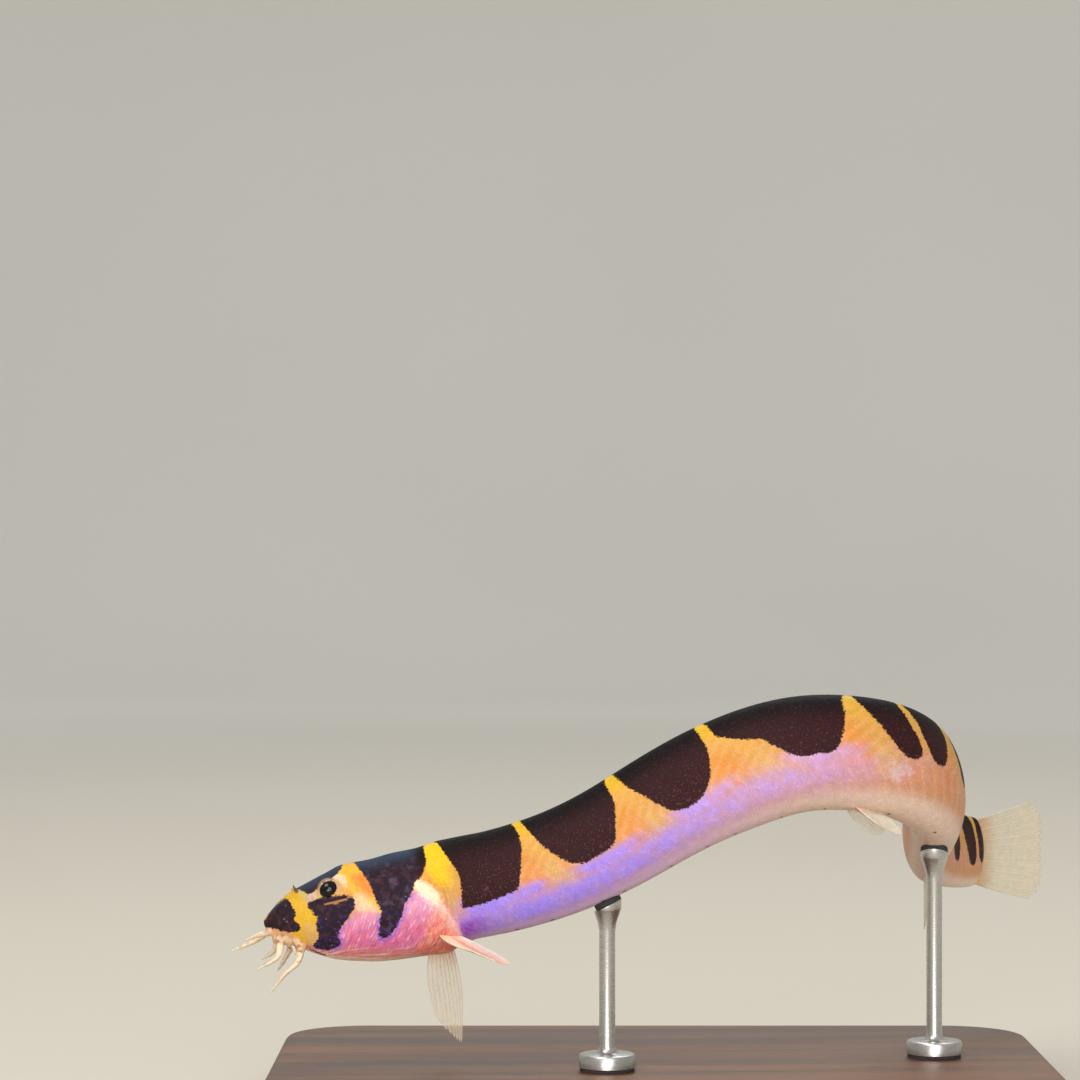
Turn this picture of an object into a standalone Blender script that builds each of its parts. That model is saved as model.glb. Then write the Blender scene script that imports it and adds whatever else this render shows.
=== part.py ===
"""A kuhli loach swimming round a bend, as a still, life-size model on a small display stand.

The fish is modelled straight, along its spine from the snout, and is then bent into its pose.
Straight coordinates are (along the spine towards the tail, towards the fish's right, up).
In the world the snout points to -X, the tail turns away towards +Y, and +Z is up.
The origin is the middle of the base's underside.
"""

import math

import bmesh
import bpy
from mathutils import Matrix, Vector

MM = 0.001
MERGE_DISTANCE = 0.001 * MM

# Driving sizes of the fish
STANDARD_LENGTH = 89.6 * MM
BELLY_FULLNESS = 0.10
GAP = 0.3 * MM
SNOUT = Vector((-32.1, -10.5, 16.1)) * MM

# Distance from the snout, and the body's rise above its spine and drop below it, in mm
DEPTHS = (
    (0.0, 0.0, 0.0), (0.25, 0.42, 0.85), (0.7, 0.85, 1.42), (1.5, 1.54, 1.95), (2.5, 2.13, 2.42),
    (3.7, 2.57, 3.06), (5.3, 3.14, 3.76), (7.0, 3.66, 4.18), (9.0, 3.73, 4.50), (11.0, 3.96, 4.60),
    (12.7, 4.03, 4.62), (14.1, 4.20, 4.70), (15.0, 4.33, 4.40), (16.6, 4.34, 4.02), (19.0, 4.27, 4.11),
    (26.0, 4.30, 4.30), (33.0, 4.46, 4.46), (42.0, 4.68, 4.68), (51.0, 4.60, 4.60), (60.0, 4.36, 4.36),
    (70.0, 3.95, 3.95), (80.0, 3.40, 3.40), (88.0, 3.05, 3.05), (89.2, 2.05, 2.05), (89.6, 0.0, 0.0),
)
# Distance from the snout and width of the body as a share of its depth
WIDTH_SHARES = (
    (0.0, 0.86), (4.0, 0.76), (9.0, 0.74), (13.0, 0.78), (20.0, 0.70), (45.0, 0.68),
    (62.0, 0.60), (76.0, 0.46), (86.0, 0.30), (89.6, 0.26),
)
# Distance from the snout and the spine's slope down towards the head, in degrees
SLOPES = (
    (0, 8), (12, 8.5), (17, 12), (21, 16.5), (27, 26), (32, 31), (35, 29), (38, 24.5), (42, 19),
    (44.5, 12), (46.5, 4.5), (48.5, -2), (51, -8), (54, -16), (58, -23), (63, -25), (70, -20),
    (78, -12), (90, -4), (100, 0),
)
# Distance from the snout and the spine's turn away from straight right, in degrees
TURNS = (
    (0, 6), (12, 6), (24, 0), (40, -2), (45, 2), (49, 11), (53, 30), (57, 53), (61, 75), (65, 89),
    (69, 91), (76, 76), (84, 61), (92, 52), (100, 48),
)
SPINE_STEP = 0.25 * MM
# Steps along and round the body over which its skin's direction is measured
NORMAL_STEP = 0.05 * MM
NORMAL_TURN = 0.02

# The lengths that the body is divided into, with their ends along the spine in mm
LENGTHS = (
    ("head", 0.0, 16.0), ("trunk_front", 16.0, 37.5), ("trunk_middle", 37.5, 56.5),
    ("trunk_rear", 56.5, 75.5), ("tail_stalk", 75.5, 89.6),
)
RING_SIDES = 32
RING_SPACING = 1.1 * MM
SNOUT_RINGS = 8
SNOUT_LENGTH = 4.0 * MM
TAIL_RINGS = 5
TAIL_END_LENGTH = 2.6 * MM

# Eyes, with their place along and above the spine
EYE_ALONG = 5.5 * MM
EYE_ABOVE = 1.88 * MM
EYE_RADIUS = 0.95 * MM
EYE_DEPTH_SHARE = 0.8
EYE_SUNK = 0.55 * MM

# Mouth, under the snout: lips as a ring round a hollow
MOUTH_ALONG = 1.35 * MM
LIP_REACH = 0.55 * MM
LIP_SPREAD = math.radians(40)
LIP_RADIUS = 0.34 * MM
LIP_SIDES = 20
MOUTH_SIZE = Vector((0.24, 0.62, 0.85)) * MM
LOBE_SPREAD = math.radians(20)
LOBE_WAY = Vector((0.30, 0.30, -0.90)).normalized()
LOBE_LENGTH = 0.95 * MM
LOBE_RADIUS = 0.3 * MM
# Shares of the lobe's length and radius, from its root inside the lip to its tip
LOBE_STATIONS = ((-0.4, 1.0), (0.05, 1.0), (0.5, 0.85), (0.8, 0.65), (1.0, 0.35))

# Nostrils: a short tube in front and a pit behind it
NOSTRIL_TUBE = (2.75 * MM, math.radians(66))
NOSTRIL_PIT = (3.9 * MM, math.radians(34))
NOSTRIL_PIT_SIZE = Vector((0.26, 0.18, 0.25)) * MM
NOSTRIL_RADIUS = 0.3 * MM
NOSTRIL_BORE = 0.16 * MM
NOSTRIL_HEIGHT = 0.38 * MM

# Grooves in the head, as distance along the spine in mm and angle up from the side
GILL_OPENING = ((13.9, 32), (14.6, 12), (14.7, -8), (14.3, -28), (13.3, -48), (12.2, -62))
SPINE_SLIT = ((5.0, 19), (5.8, 18), (6.6, 20), (7.3, 23))
GROOVE_RADIUS = 0.17 * MM
GROOVE_END_SHARE = 0.45

# Barbels on the left side: way points in straight coordinates in mm, rooted inside the head
LEFT_BARBELS = {
    "rostral": ((0.75, -0.30, -0.62), (0.25, -0.62, -0.78), (-0.75, -1.55, -0.80), (-1.70, -2.30, -0.95)),
    "maxillary": ((1.00, -0.55, -1.10), (1.05, -1.25, -1.75), (0.60, -1.75, -2.75), (-1.05, -2.10, -3.40)),
    "mandibular": ((2.30, -0.80, -1.30), (2.55, -1.60, -2.35), (2.15, -1.95, -3.35), (1.00, -2.05, -4.15),
                   (-0.30, -1.80, -5.45)),
}
# Barbels on the right side, which bend another way
RIGHT_BARBELS = {
    "rostral": ((0.75, 0.30, -0.62), (0.10, 0.55, -0.95), (-1.20, 0.85, -1.55), (-2.85, 1.05, -1.95)),
    "maxillary": ((1.00, 0.55, -1.10), (0.85, 1.20, -1.85), (0.45, 1.65, -2.60), (-0.60, 2.00, -3.15)),
    "mandibular": ((2.20, 0.80, -1.40), (1.95, 1.55, -2.35), (1.20, 2.10, -3.50), (0.60, 2.60, -4.30)),
}
BARBEL_RADIUS = 0.32 * MM
BARBEL_TIP_RADIUS = 0.12 * MM
BARBEL_TAPER = 2.0
BARBEL_STEPS = 4
TUBE_BEVEL = 2

# Fins
FIN_THICKNESS = 0.5 * MM
FIN_TIP_THICKNESS = 0.3 * MM
FIN_THIN_FROM = 0.75
RAY_RIDGE = 0.09 * MM
RAY_FADE = 0.6

PECTORAL_ROOT = Vector((13.9, 1.35, -2.75)) * MM
PECTORAL_ROOT_WIDTH = 1.1 * MM
PECTORAL_RAYS = 9
PECTORAL_ROWS = 8
# Share of the way from front ray to rear ray, and the ray's length and reach backwards, in mm
PECTORAL_LENGTHS = ((0.0, 7.4), (0.3, 8.9), (0.65, 9.9), (0.85, 10.1), (1.0, 9.1))
PECTORAL_TIPS = ((0.0, -1.4), (0.5, -0.1), (1.0, 0.6))
PECTORAL_BULGE = 0.55 * MM
# Direction of the middle ray and of the way across the fin, in straight coordinates
PECTORAL_LEFT = (Vector((0.38, -0.88, -0.29)), Vector((0.86, 0.45, -0.24)))
PECTORAL_RIGHT = (Vector((-0.01, 0.27, -0.96)), Vector((1.0, 0.10, 0.0)))
PECTORAL_BOW = 0.5 * MM

PELVIC_ROOT = Vector((50.0, 0.75, -3.75)) * MM
PELVIC_ROOT_WIDTH = 0.8 * MM
PELVIC_RAYS = 6
PELVIC_ROWS = 6
PELVIC_LENGTHS = ((0.0, 3.9), (0.35, 4.9), (0.75, 4.6), (1.0, 3.6))
PELVIC_TIPS = ((0.0, -0.85), (0.5, 0.1), (1.0, 0.95))
PELVIC_BULGE = 0.2 * MM
PELVIC_LEFT = (Vector((0.80, -0.30, -0.52)), Vector((0.45, 0.70, 0.35)))
PELVIC_RIGHT = (Vector((0.80, 0.30, -0.52)), Vector((0.45, -0.70, 0.35)))
PELVIC_BOW = 0.2 * MM

# Fins in the middle plane: base ends along the spine, rays, lengths in mm and lean back in degrees
DORSAL_BASE = (59.4 * MM, 64.6 * MM)
DORSAL_RAYS = 8
DORSAL_LENGTHS = ((0.0, 4.2), (0.25, 6.2), (0.6, 6.3), (1.0, 4.9))
DORSAL_LEANS = ((0.0, 52.0), (1.0, 66.0))
ANAL_BASE = (68.6 * MM, 72.6 * MM)
ANAL_RAYS = 7
ANAL_LENGTHS = ((0.0, 4.3), (0.3, 6.2), (0.65, 6.0), (1.0, 4.6))
ANAL_LEANS = ((0.0, 38.0), (1.0, 62.0))
MEDIAN_ROWS = 6
MEDIAN_SUNK = 1.2 * MM
CAUDAL_RAYS = 13
CAUDAL_ROWS = 8
CAUDAL_ROOT = 87.6 * MM
CAUDAL_ROOT_HALF = 2.65 * MM
CAUDAL_FAN = math.radians(10)
CAUDAL_LENGTHS = (
    (0.0, 10.4), (0.12, 11.9), (0.3, 12.4), (0.5, 12.2), (0.7, 12.4), (0.88, 11.9), (1.0, 10.4),
)

# The stand: a rounded plate and two turned rods that end under the belly
BASE_SIZE = Vector((64.0, 40.0, 4.0)) * MM
BASE_CORNER = 7.0 * MM
BASE_CORNER_SEGMENTS = 8
BASE_EDGE = 0.7 * MM
BASE_EDGE_SEGMENTS = 3
ROD_SIDES = 20
ROD_RADIUS = 0.65 * MM
ROD_NECK_HEIGHT = 0.6 * MM
ROD_NECK_RADIUS = 0.88 * MM
ROD_FOOT_RADIUS = 2.3 * MM
ROD_FOOT_HEIGHT = 1.1 * MM
ROD_FOOT_EDGE = 0.25 * MM
ROD_CUP_RADIUS = 1.15 * MM
ROD_CUP_RIM = 0.6 * MM
ROD_CUP_FLARE = 2.4 * MM
ROD_PLACES = {"front": 28.5 * MM, "rear": 62.0 * MM}

SHARP_ANGLE = math.radians(40)
# Colour, roughness and metallic value of each finish
COLOURS = {
    "skin": ((0.86, 0.52, 0.20, 1.0), 0.35, 0.0),
    "fin": ((0.93, 0.84, 0.74, 1.0), 0.4, 0.0),
    "eye": ((0.01, 0.01, 0.012, 1.0), 0.08, 0.0),
    "wood": ((0.16, 0.08, 0.04, 1.0), 0.45, 0.0),
    "steel": ((0.62, 0.62, 0.62, 1.0), 0.25, 1.0),
}


class Profile:
    """A smooth curve through stations that never overshoots between them."""

    def __init__(self, stations, ease=1.0):
        self.ease = ease
        self.places = [place ** ease for place, _ in stations]
        self.values = [value for _, value in stations]
        spans = [b - a for a, b in zip(self.places, self.places[1:])]
        rises = [(b - a) / span for a, b, span in zip(self.values, self.values[1:], spans)]
        self.slopes = [rises[0]]
        for before, after, span, next_span in zip(rises, rises[1:], spans, spans[1:]):
            if before * after <= 0:
                self.slopes.append(0.0)
                continue
            first = 2 * next_span + span
            second = next_span + 2 * span
            self.slopes.append((first + second) / (first / before + second / after))
        self.slopes.append(rises[-1])

    def __call__(self, place):
        eased = min(max(place, 0.0) ** self.ease, self.places[-1])
        index = 0
        while index < len(self.places) - 2 and self.places[index + 1] < eased:
            index += 1
        span = self.places[index + 1] - self.places[index]
        t = (eased - self.places[index]) / span
        rise = self.values[index] * (1 + 2 * t) * (1 - t) ** 2
        rise += self.values[index + 1] * t * t * (3 - 2 * t)
        bend = self.slopes[index] * t * (1 - t) ** 2 + self.slopes[index + 1] * t * t * (t - 1)
        return rise + span * bend


# The snout is blunt, so its profile is smooth in the root of the distance
rise_mm = Profile([(place, rise) for place, rise, _ in DEPTHS], ease=0.5)
drop_mm = Profile([(place, drop) for place, _, drop in DEPTHS], ease=0.5)
width_share = Profile(WIDTH_SHARES)
slope_degrees = Profile(SLOPES)
turn_degrees = Profile(TURNS)


def skin_point(along, angle):
    """The point of the straight body's skin at an angle up from its right side."""
    rise = rise_mm(along / MM) * MM
    drop = drop_mm(along / MM) * MM
    width = (rise + drop) / 2 * width_share(along / MM) * (1 - BELLY_FULLNESS * math.sin(angle))
    height = rise if math.sin(angle) > 0 else drop
    return Vector((along, width * math.cos(angle), height * math.sin(angle)))


def skin_normal(along, angle):
    """The direction straight out of the skin of the straight body."""
    lengthwise = skin_point(along + NORMAL_STEP, angle) - skin_point(along - NORMAL_STEP, angle)
    around = skin_point(along, angle + NORMAL_TURN) - skin_point(along, angle - NORMAL_TURN)
    normal = lengthwise.cross(around).normalized()
    return normal if normal.dot(skin_point(along, angle) - Vector((along, 0, 0))) > 0 else -normal


def spine_frames():
    """The spine's points and its axes along, right and up, one every step from the snout."""
    frames = []
    point = SNOUT.copy()
    previous = None
    for index in range(int(1.2 * STANDARD_LENGTH / SPINE_STEP) + 1):
        place = index * SPINE_STEP / MM
        slope = math.radians(slope_degrees(place))
        turn = math.radians(turn_degrees(place))
        level = Vector((math.cos(turn), math.sin(turn), 0.0))
        along = level * math.cos(slope) + Vector((0.0, 0.0, math.sin(slope)))
        right = Vector((-math.sin(turn), math.cos(turn), 0.0))
        if previous is not None:
            point = point + (along + previous).normalized() * SPINE_STEP
        frames.append((point, along, right, along.cross(right)))
        previous = along
    return frames


FRAMES = spine_frames()


def spine_at(along):
    """The spine's point and axes at a distance from the snout, straight on before it."""
    if along <= 0:
        point, ahead, right, up = FRAMES[0]
        return point + ahead * along, ahead, right, up
    place = min(along / SPINE_STEP, len(FRAMES) - 1.001)
    index = int(place)
    share = place - index
    return tuple(a.lerp(b, share) for a, b in zip(FRAMES[index], FRAMES[index + 1]))


def bend(point):
    """Take a point of the straight fish to its place in the pose."""
    centre, _, right, up = spine_at(point.x)
    return centre + right * point.y + up * point.z


def set_on(along, offset):
    """Place an offset, in straight directions, from the spine at a distance, without bending it."""
    centre, ahead, right, up = spine_at(along)
    return centre + ahead * offset.x + right * offset.y + up * offset.z


def clear_scene():
    """Remove whatever the scene already holds."""
    for item in list(bpy.data.objects):
        bpy.data.objects.remove(item, do_unlink=True)


def make_material(name):
    """A plain material in one of the model's colours."""
    colour, roughness, metallic = COLOURS[name]
    material = bpy.data.materials.new(name)
    material.use_nodes = True
    shader = material.node_tree.nodes["Principled BSDF"]
    shader.inputs["Base Color"].default_value = colour
    shader.inputs["Roughness"].default_value = roughness
    shader.inputs["Metallic"].default_value = metallic
    material.diffuse_color = colour
    return material


def new_object(name, bm, collection):
    """Make an object of a bmesh and free the bmesh."""
    mesh = bpy.data.meshes.new(name)
    bm.to_mesh(mesh)
    bm.free()
    item = bpy.data.objects.new(name, mesh)
    collection.objects.link(item)
    return item


def edit_mesh(item, change):
    """Apply a function of a bmesh to an object's mesh."""
    bm = bmesh.new()
    bm.from_mesh(item.data)
    change(bm)
    bm.to_mesh(item.data)
    bm.free()


def combine(target, others, operation):
    """Join other closed objects to the target, or cut them from it, and remove them."""
    operands = bpy.data.collections.new("operands")
    bpy.context.scene.collection.children.link(operands)
    for item in others:
        for holder in list(item.users_collection):
            holder.objects.unlink(item)
        operands.objects.link(item)
    modifier = target.modifiers.new("combine", "BOOLEAN")
    modifier.operand_type = "COLLECTION"
    modifier.collection = operands
    modifier.operation = operation
    modifier.solver = "EXACT"
    evaluated = target.evaluated_get(bpy.context.evaluated_depsgraph_get())
    mesh = bpy.data.meshes.new_from_object(evaluated)
    target.modifiers.clear()
    old = target.data
    target.data = mesh
    bpy.data.meshes.remove(old)
    for item in others:
        bpy.data.objects.remove(item, do_unlink=True)
    bpy.data.collections.remove(operands)
    edit_mesh(target, keep_largest)


def face_out(bm):
    """Turn the faces of a closed bmesh outwards."""
    bmesh.ops.recalc_face_normals(bm, faces=bm.faces[:])
    if bm.calc_volume(signed=True) < 0:
        bmesh.ops.reverse_faces(bm, faces=bm.faces[:])


def keep_largest(bm):
    """Keep the largest closed surface of a bmesh, made of triangles that face out."""
    bmesh.ops.remove_doubles(bm, verts=bm.verts[:], dist=MERGE_DISTANCE)
    bmesh.ops.triangulate(bm, faces=bm.faces[:])
    left = set(bm.faces)
    pieces = []
    while left:
        start = left.pop()
        piece = [start]
        queue = [start]
        while queue:
            face = queue.pop()
            for edge in face.edges:
                for other in edge.link_faces:
                    if other in left:
                        left.remove(other)
                        piece.append(other)
                        queue.append(other)
        pieces.append(piece)
    largest = max(pieces, key=lambda piece: abs(enclosed_volume(piece)))
    scraps = [face for piece in pieces if piece is not largest for face in piece]
    bmesh.ops.delete(bm, geom=scraps, context="FACES")
    face_out(bm)


def enclosed_volume(faces):
    """The volume inside triangles, as a sum of their wedges from the origin."""
    total = 0.0
    for face in faces:
        a, b, c = (vert.co for vert in face.verts)
        total += a.dot(b.cross(c)) / 6
    return total


def curve_object(name, points, radii, collection, closed=False):
    """A round tube through points with a radius at each, as a closed mesh."""
    curve = bpy.data.curves.new(name, "CURVE")
    curve.dimensions = "3D"
    curve.bevel_depth = 1.0
    curve.bevel_resolution = TUBE_BEVEL
    curve.use_fill_caps = True
    spline = curve.splines.new("POLY")
    spline.points.add(len(points) - 1)
    spline.use_cyclic_u = closed
    for place, point, radius in zip(spline.points, points, radii):
        place.co = (*point, 1.0)
        place.radius = radius
    item = bpy.data.objects.new(name, curve)
    collection.objects.link(item)
    evaluated = item.evaluated_get(bpy.context.evaluated_depsgraph_get())
    mesh = bpy.data.meshes.new_from_object(evaluated)
    bpy.data.objects.remove(item, do_unlink=True)
    bpy.data.curves.remove(curve)
    tube = bpy.data.objects.new(name, mesh)
    collection.objects.link(tube)
    edit_mesh(tube, close_tube)
    return tube


def close_tube(bm):
    """Weld a tube's loose caps to its wall."""
    bmesh.ops.remove_doubles(bm, verts=bm.verts[:], dist=MERGE_DISTANCE)
    face_out(bm)


def smooth_route(points, steps):
    """Points on a smooth curve through way points, a few steps to each span."""
    route = []
    padded = [points[0] * 2 - points[1], *points, points[-1] * 2 - points[-2]]
    for p0, p1, p2, p3 in zip(padded, padded[1:], padded[2:], padded[3:]):
        for step in range(steps):
            t = step / steps
            route.append(0.5 * (2 * p1 + (p2 - p0) * t + (2 * p0 - 5 * p1 + 4 * p2 - p3) * t ** 2
                                + (3 * p1 - p0 - 3 * p2 + p3) * t ** 3))
    route.append(points[-1])
    return route


def ring_places():
    """Distances of the body's rings: close at the blunt ends, evenly spaced between."""
    quarter = math.pi / 2
    places = [SNOUT_LENGTH * (1 - math.cos(quarter * k / SNOUT_RINGS)) for k in range(SNOUT_RINGS)]
    straight_end = STANDARD_LENGTH - TAIL_END_LENGTH
    count = round((straight_end - SNOUT_LENGTH) / RING_SPACING)
    places += [SNOUT_LENGTH + (straight_end - SNOUT_LENGTH) * k / count for k in range(count)]
    places += [straight_end + TAIL_END_LENGTH * math.sin(quarter * k / TAIL_RINGS)
               for k in range(TAIL_RINGS + 1)]
    return places


def straight_body(collection):
    """The whole straight body, a sphere whose rings are moved to the body's sections."""
    places = ring_places()
    rings = len(places) - 1
    bm = bmesh.new()
    bmesh.ops.create_uvsphere(bm, u_segments=RING_SIDES, v_segments=rings, radius=1.0)
    for vert in bm.verts:
        index = round(math.acos(max(-1.0, min(1.0, vert.co.z))) / math.pi * rings)
        vert.co = skin_point(places[index], math.atan2(vert.co.y, vert.co.x))
    face_out(bm)
    return new_object("body", bm, collection)


def cut_length(body, name, start, end, collection):
    """One length of the straight body, with flat ends half a gap inside its limits."""
    bm = bmesh.new()
    bm.from_mesh(body.data)
    limits = []
    if start > 0:
        limits.append((start * MM + GAP / 2, -1))
    if end * MM < STANDARD_LENGTH:
        limits.append((end * MM - GAP / 2, 1))
    for place, side in limits:
        bmesh.ops.bisect_plane(bm, geom=bm.verts[:] + bm.edges[:] + bm.faces[:], dist=0.0001 * MM,
                               plane_co=(place, 0, 0), plane_no=(side, 0, 0), clear_outer=True)
        rim = [edge for edge in bm.edges if edge.is_boundary]
        bmesh.ops.edgeloop_fill(bm, edges=rim)
    bmesh.ops.triangulate(bm, faces=bm.faces[:])
    face_out(bm)
    return new_object(name, bm, collection)


def grown(item, collection):
    """A copy of a closed object with its surface moved out by the gap."""
    bm = bmesh.new()
    bm.from_mesh(item.data)
    bm.normal_update()
    places = [vert.co + vert.normal * GAP for vert in bm.verts]
    for vert, place in zip(bm.verts, places):
        vert.co = place
    return new_object("grown_" + item.name, bm, collection)


def bend_object(item):
    """Take a straight object to its place in the pose."""
    def change(bm):
        for vert in bm.verts:
            vert.co = bend(vert.co)
        face_out(bm)
    edit_mesh(item, change)


def ball(name, centre, radii, collection, turn=None, sides=14, rings=10):
    """A ball or ellipsoid at a place, turned by a matrix."""
    bm = bmesh.new()
    bmesh.ops.create_uvsphere(bm, u_segments=sides, v_segments=rings, radius=1.0)
    bmesh.ops.scale(bm, vec=radii, verts=bm.verts[:])
    if turn is not None:
        bmesh.ops.transform(bm, matrix=turn.to_4x4(), verts=bm.verts[:])
    bmesh.ops.translate(bm, vec=centre, verts=bm.verts[:])
    return new_object(name, bm, collection)


def eye_centre(side):
    """The middle of an eye in straight coordinates, sunk under the skin at its place."""
    angle = math.asin(EYE_ABOVE / (rise_mm(EYE_ALONG / MM) * MM))
    skin = skin_point(EYE_ALONG, angle)
    return Vector((EYE_ALONG, side * (skin.y - EYE_SUNK), EYE_ABOVE))


def side_angle(angle, side):
    """An angle up from the right side, mirrored for the left side."""
    return angle if side > 0 else math.pi - angle


def outward_turn(along, angle):
    """A turn whose Z axis is straight out of the skin and whose X axis runs along the body."""
    normal = skin_normal(along, angle)
    across = normal.cross(Vector((1, 0, 0))).normalized()
    return Matrix((across.cross(normal), across, normal)).transposed()


def lip_ring(name, radius, collection):
    """The ring of the lips, which follows the underside of the snout."""
    points = []
    for index in range(LIP_SIDES):
        turn = 2 * math.pi * index / LIP_SIDES
        along = MOUTH_ALONG + LIP_REACH * math.sin(turn)
        points.append(skin_point(along, -math.pi / 2 + LIP_SPREAD * math.cos(turn)))
    return curve_object(name, points, [radius] * LIP_SIDES, collection, closed=True)


def chin_lobes(collection):
    """The two soft lobes that hang from the lower lip."""
    lobes = []
    for side in (-1, 1):
        root = skin_point(MOUTH_ALONG + LIP_REACH, -math.pi / 2 + side * LOBE_SPREAD)
        way = LOBE_WAY * Vector((1, side, 1))
        points = [root + way * share * LOBE_LENGTH for share, _ in LOBE_STATIONS]
        radii = [share * LOBE_RADIUS for _, share in LOBE_STATIONS]
        lobes.append(curve_object("chin_lobe", points, radii, collection))
    return lobes


def nostril_tubes(collection):
    """The short raised tubes of the front nostrils, with their bores as cutters."""
    tubes = []
    bores = []
    along, angle = NOSTRIL_TUBE
    for side in (-1, 1):
        place = side_angle(angle, side)
        foot = skin_point(along, place)
        out = skin_normal(along, place)
        points = [foot - out * NOSTRIL_HEIGHT, foot, foot + out * NOSTRIL_HEIGHT]
        tubes.append(curve_object("nostril_tube", points, [NOSTRIL_RADIUS] * 3, collection))
        bore = [foot, foot + out * 2 * NOSTRIL_HEIGHT]
        bores.append(curve_object("nostril_bore", bore, [NOSTRIL_BORE] * 2, collection))
        pit_along, pit_angle = NOSTRIL_PIT
        pit_place = side_angle(pit_angle, side)
        bores.append(ball("nostril_pit", skin_point(pit_along, pit_place),
                          NOSTRIL_PIT_SIZE, collection, outward_turn(pit_along, pit_place),
                          sides=8, rings=6))
    return tubes, bores


def grooves(collection):
    """Cutters along the gill openings and the slits under the eyes."""
    cutters = []
    for stations in (GILL_OPENING, SPINE_SLIT):
        for side in (-1, 1):
            points = [skin_point(along * MM, side_angle(math.radians(angle), side))
                      for along, angle in stations]
            route = smooth_route(points, 2)
            swell = [math.sin(math.pi * k / (len(route) - 1)) for k in range(len(route))]
            radii = [GROOVE_RADIUS * (GROOVE_END_SHARE + (1 - GROOVE_END_SHARE) * share) for share in swell]
            cutters.append(curve_object("groove", route, radii, collection))
    return cutters


def finish_head(head, collection):
    """Give the straight head its lips, chin lobes, mouth, nostrils, sockets and grooves."""
    tubes, bores = nostril_tubes(collection)
    combine(head, [lip_ring("lips", LIP_RADIUS, collection), *chin_lobes(collection), *tubes], "UNION")
    under = -math.pi / 2
    cutters = [ball("mouth", skin_point(MOUTH_ALONG, under), MOUTH_SIZE, collection,
                    outward_turn(MOUTH_ALONG, under))]
    for side in (-1, 1):
        reach = EYE_RADIUS + GAP
        cutters.append(ball("socket", eye_centre(side),
                            (reach, EYE_RADIUS * EYE_DEPTH_SHARE + GAP, reach), collection))
    combine(head, cutters + bores + grooves(collection), "DIFFERENCE")


def fin_sheet(name, rays, rows, place, collection):
    """A thin closed sheet with raised rays, where place gives a point and the way out of its face."""
    columns = 2 * (rays - 1)
    bm = bmesh.new()
    bmesh.ops.create_grid(bm, x_segments=columns, y_segments=rows, size=0.5)
    bmesh.ops.triangulate(bm, faces=bm.faces[:], quad_method="FIXED")
    lower = list(bm.verts)
    raised = bmesh.ops.extrude_face_region(bm, geom=bm.faces[:], use_keep_orig=True)
    upper = [element for element in raised["geom"] if isinstance(element, bmesh.types.BMVert)]
    for side, verts in ((-1, lower), (1, upper)):
        for vert in verts:
            across = vert.co.x + 0.5
            out = vert.co.y + 0.5
            thinned = max(0.0, out - FIN_THIN_FROM) / (1 - FIN_THIN_FROM)
            half = 0.5 * (FIN_THICKNESS + (FIN_TIP_THICKNESS - FIN_THICKNESS) * thinned)
            is_ray = round(across * columns) % 2 == 0
            half += RAY_RIDGE * (1 - RAY_FADE * out) if is_ray else 0.0
            point, face = place(across, out)
            vert.co = point + face * side * half
    face_out(bm)
    return new_object(name, bm, collection)


def paired_fin(name, rays, rows, root, root_width, directions, lengths, tips, bulge, bow, collection):
    """A fin of a pair, a fan of rays from a root inside the body, bowed along its length."""
    length_mm = Profile(lengths)
    tip_mm = Profile(tips)
    middle = directions[0].normalized()
    across_way = (directions[1] - middle * directions[1].dot(middle)).normalized()
    face = middle.cross(across_way).normalized()
    foot = Vector((0.0, root.y, root.z))

    def place(across, out):
        reach = length_mm(across) * MM * out
        sideways = root_width * (across - 0.5) * (1 - out) + tip_mm(across) * MM * out
        sideways += bulge * (2 * across - 1) * math.sin(math.pi * out)
        arch = bow * (out ** 2 + 0.35 * (2 * across - 1) ** 2 * out)
        return set_on(root.x, foot + middle * reach + across_way * sideways + face * arch), \
            set_on(root.x, face) - set_on(root.x, Vector((0, 0, 0)))

    return fin_sheet(name, rays, rows, place, collection)


def median_fin(name, rays, base, lengths, leans, side, collection):
    """A fin in the middle plane on the back, side 1, or the belly, side -1, with its rays laid back."""
    length_mm = Profile(lengths)
    lean_degrees = Profile(leans)
    edge_mm = rise_mm if side > 0 else drop_mm

    def place(across, out):
        along = base[0] + (base[1] - base[0]) * across
        lean = math.radians(lean_degrees(across))
        root_height = edge_mm(along / MM) * MM - MEDIAN_SUNK
        reach = (length_mm(across) * MM + MEDIAN_SUNK) * out
        point = Vector((along + reach * math.sin(lean), 0.0, side * (root_height + reach * math.cos(lean))))
        return bend(point), spine_at(point.x)[2]

    return fin_sheet(name, rays, MEDIAN_ROWS, place, collection)


def caudal_fin(collection):
    """The tail fin, a fan of rays from inside the end of the tail stalk."""
    length_mm = Profile(CAUDAL_LENGTHS)

    def place(across, out):
        height = 2 * across - 1
        angle = CAUDAL_FAN * height
        reach = length_mm(across) * MM * out
        point = Vector((CAUDAL_ROOT + reach * math.cos(angle), 0.0,
                        CAUDAL_ROOT_HALF * height + reach * math.sin(angle)))
        return bend(point), spine_at(point.x)[2]

    return fin_sheet("caudal_fin", CAUDAL_RAYS, CAUDAL_ROWS, place, collection)


def barbel(name, way_points, collection):
    """A feeler that tapers to its tip, along a smooth route from inside the head."""
    route = smooth_route([bend(Vector(point) * MM) for point in way_points], BARBEL_STEPS)
    last = len(route) - 1
    shares = [(k / last) ** BARBEL_TAPER for k in range(last + 1)]
    radii = [BARBEL_RADIUS + (BARBEL_TIP_RADIUS - BARBEL_RADIUS) * share for share in shares]
    return curve_object(name, route, radii, collection)


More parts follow.
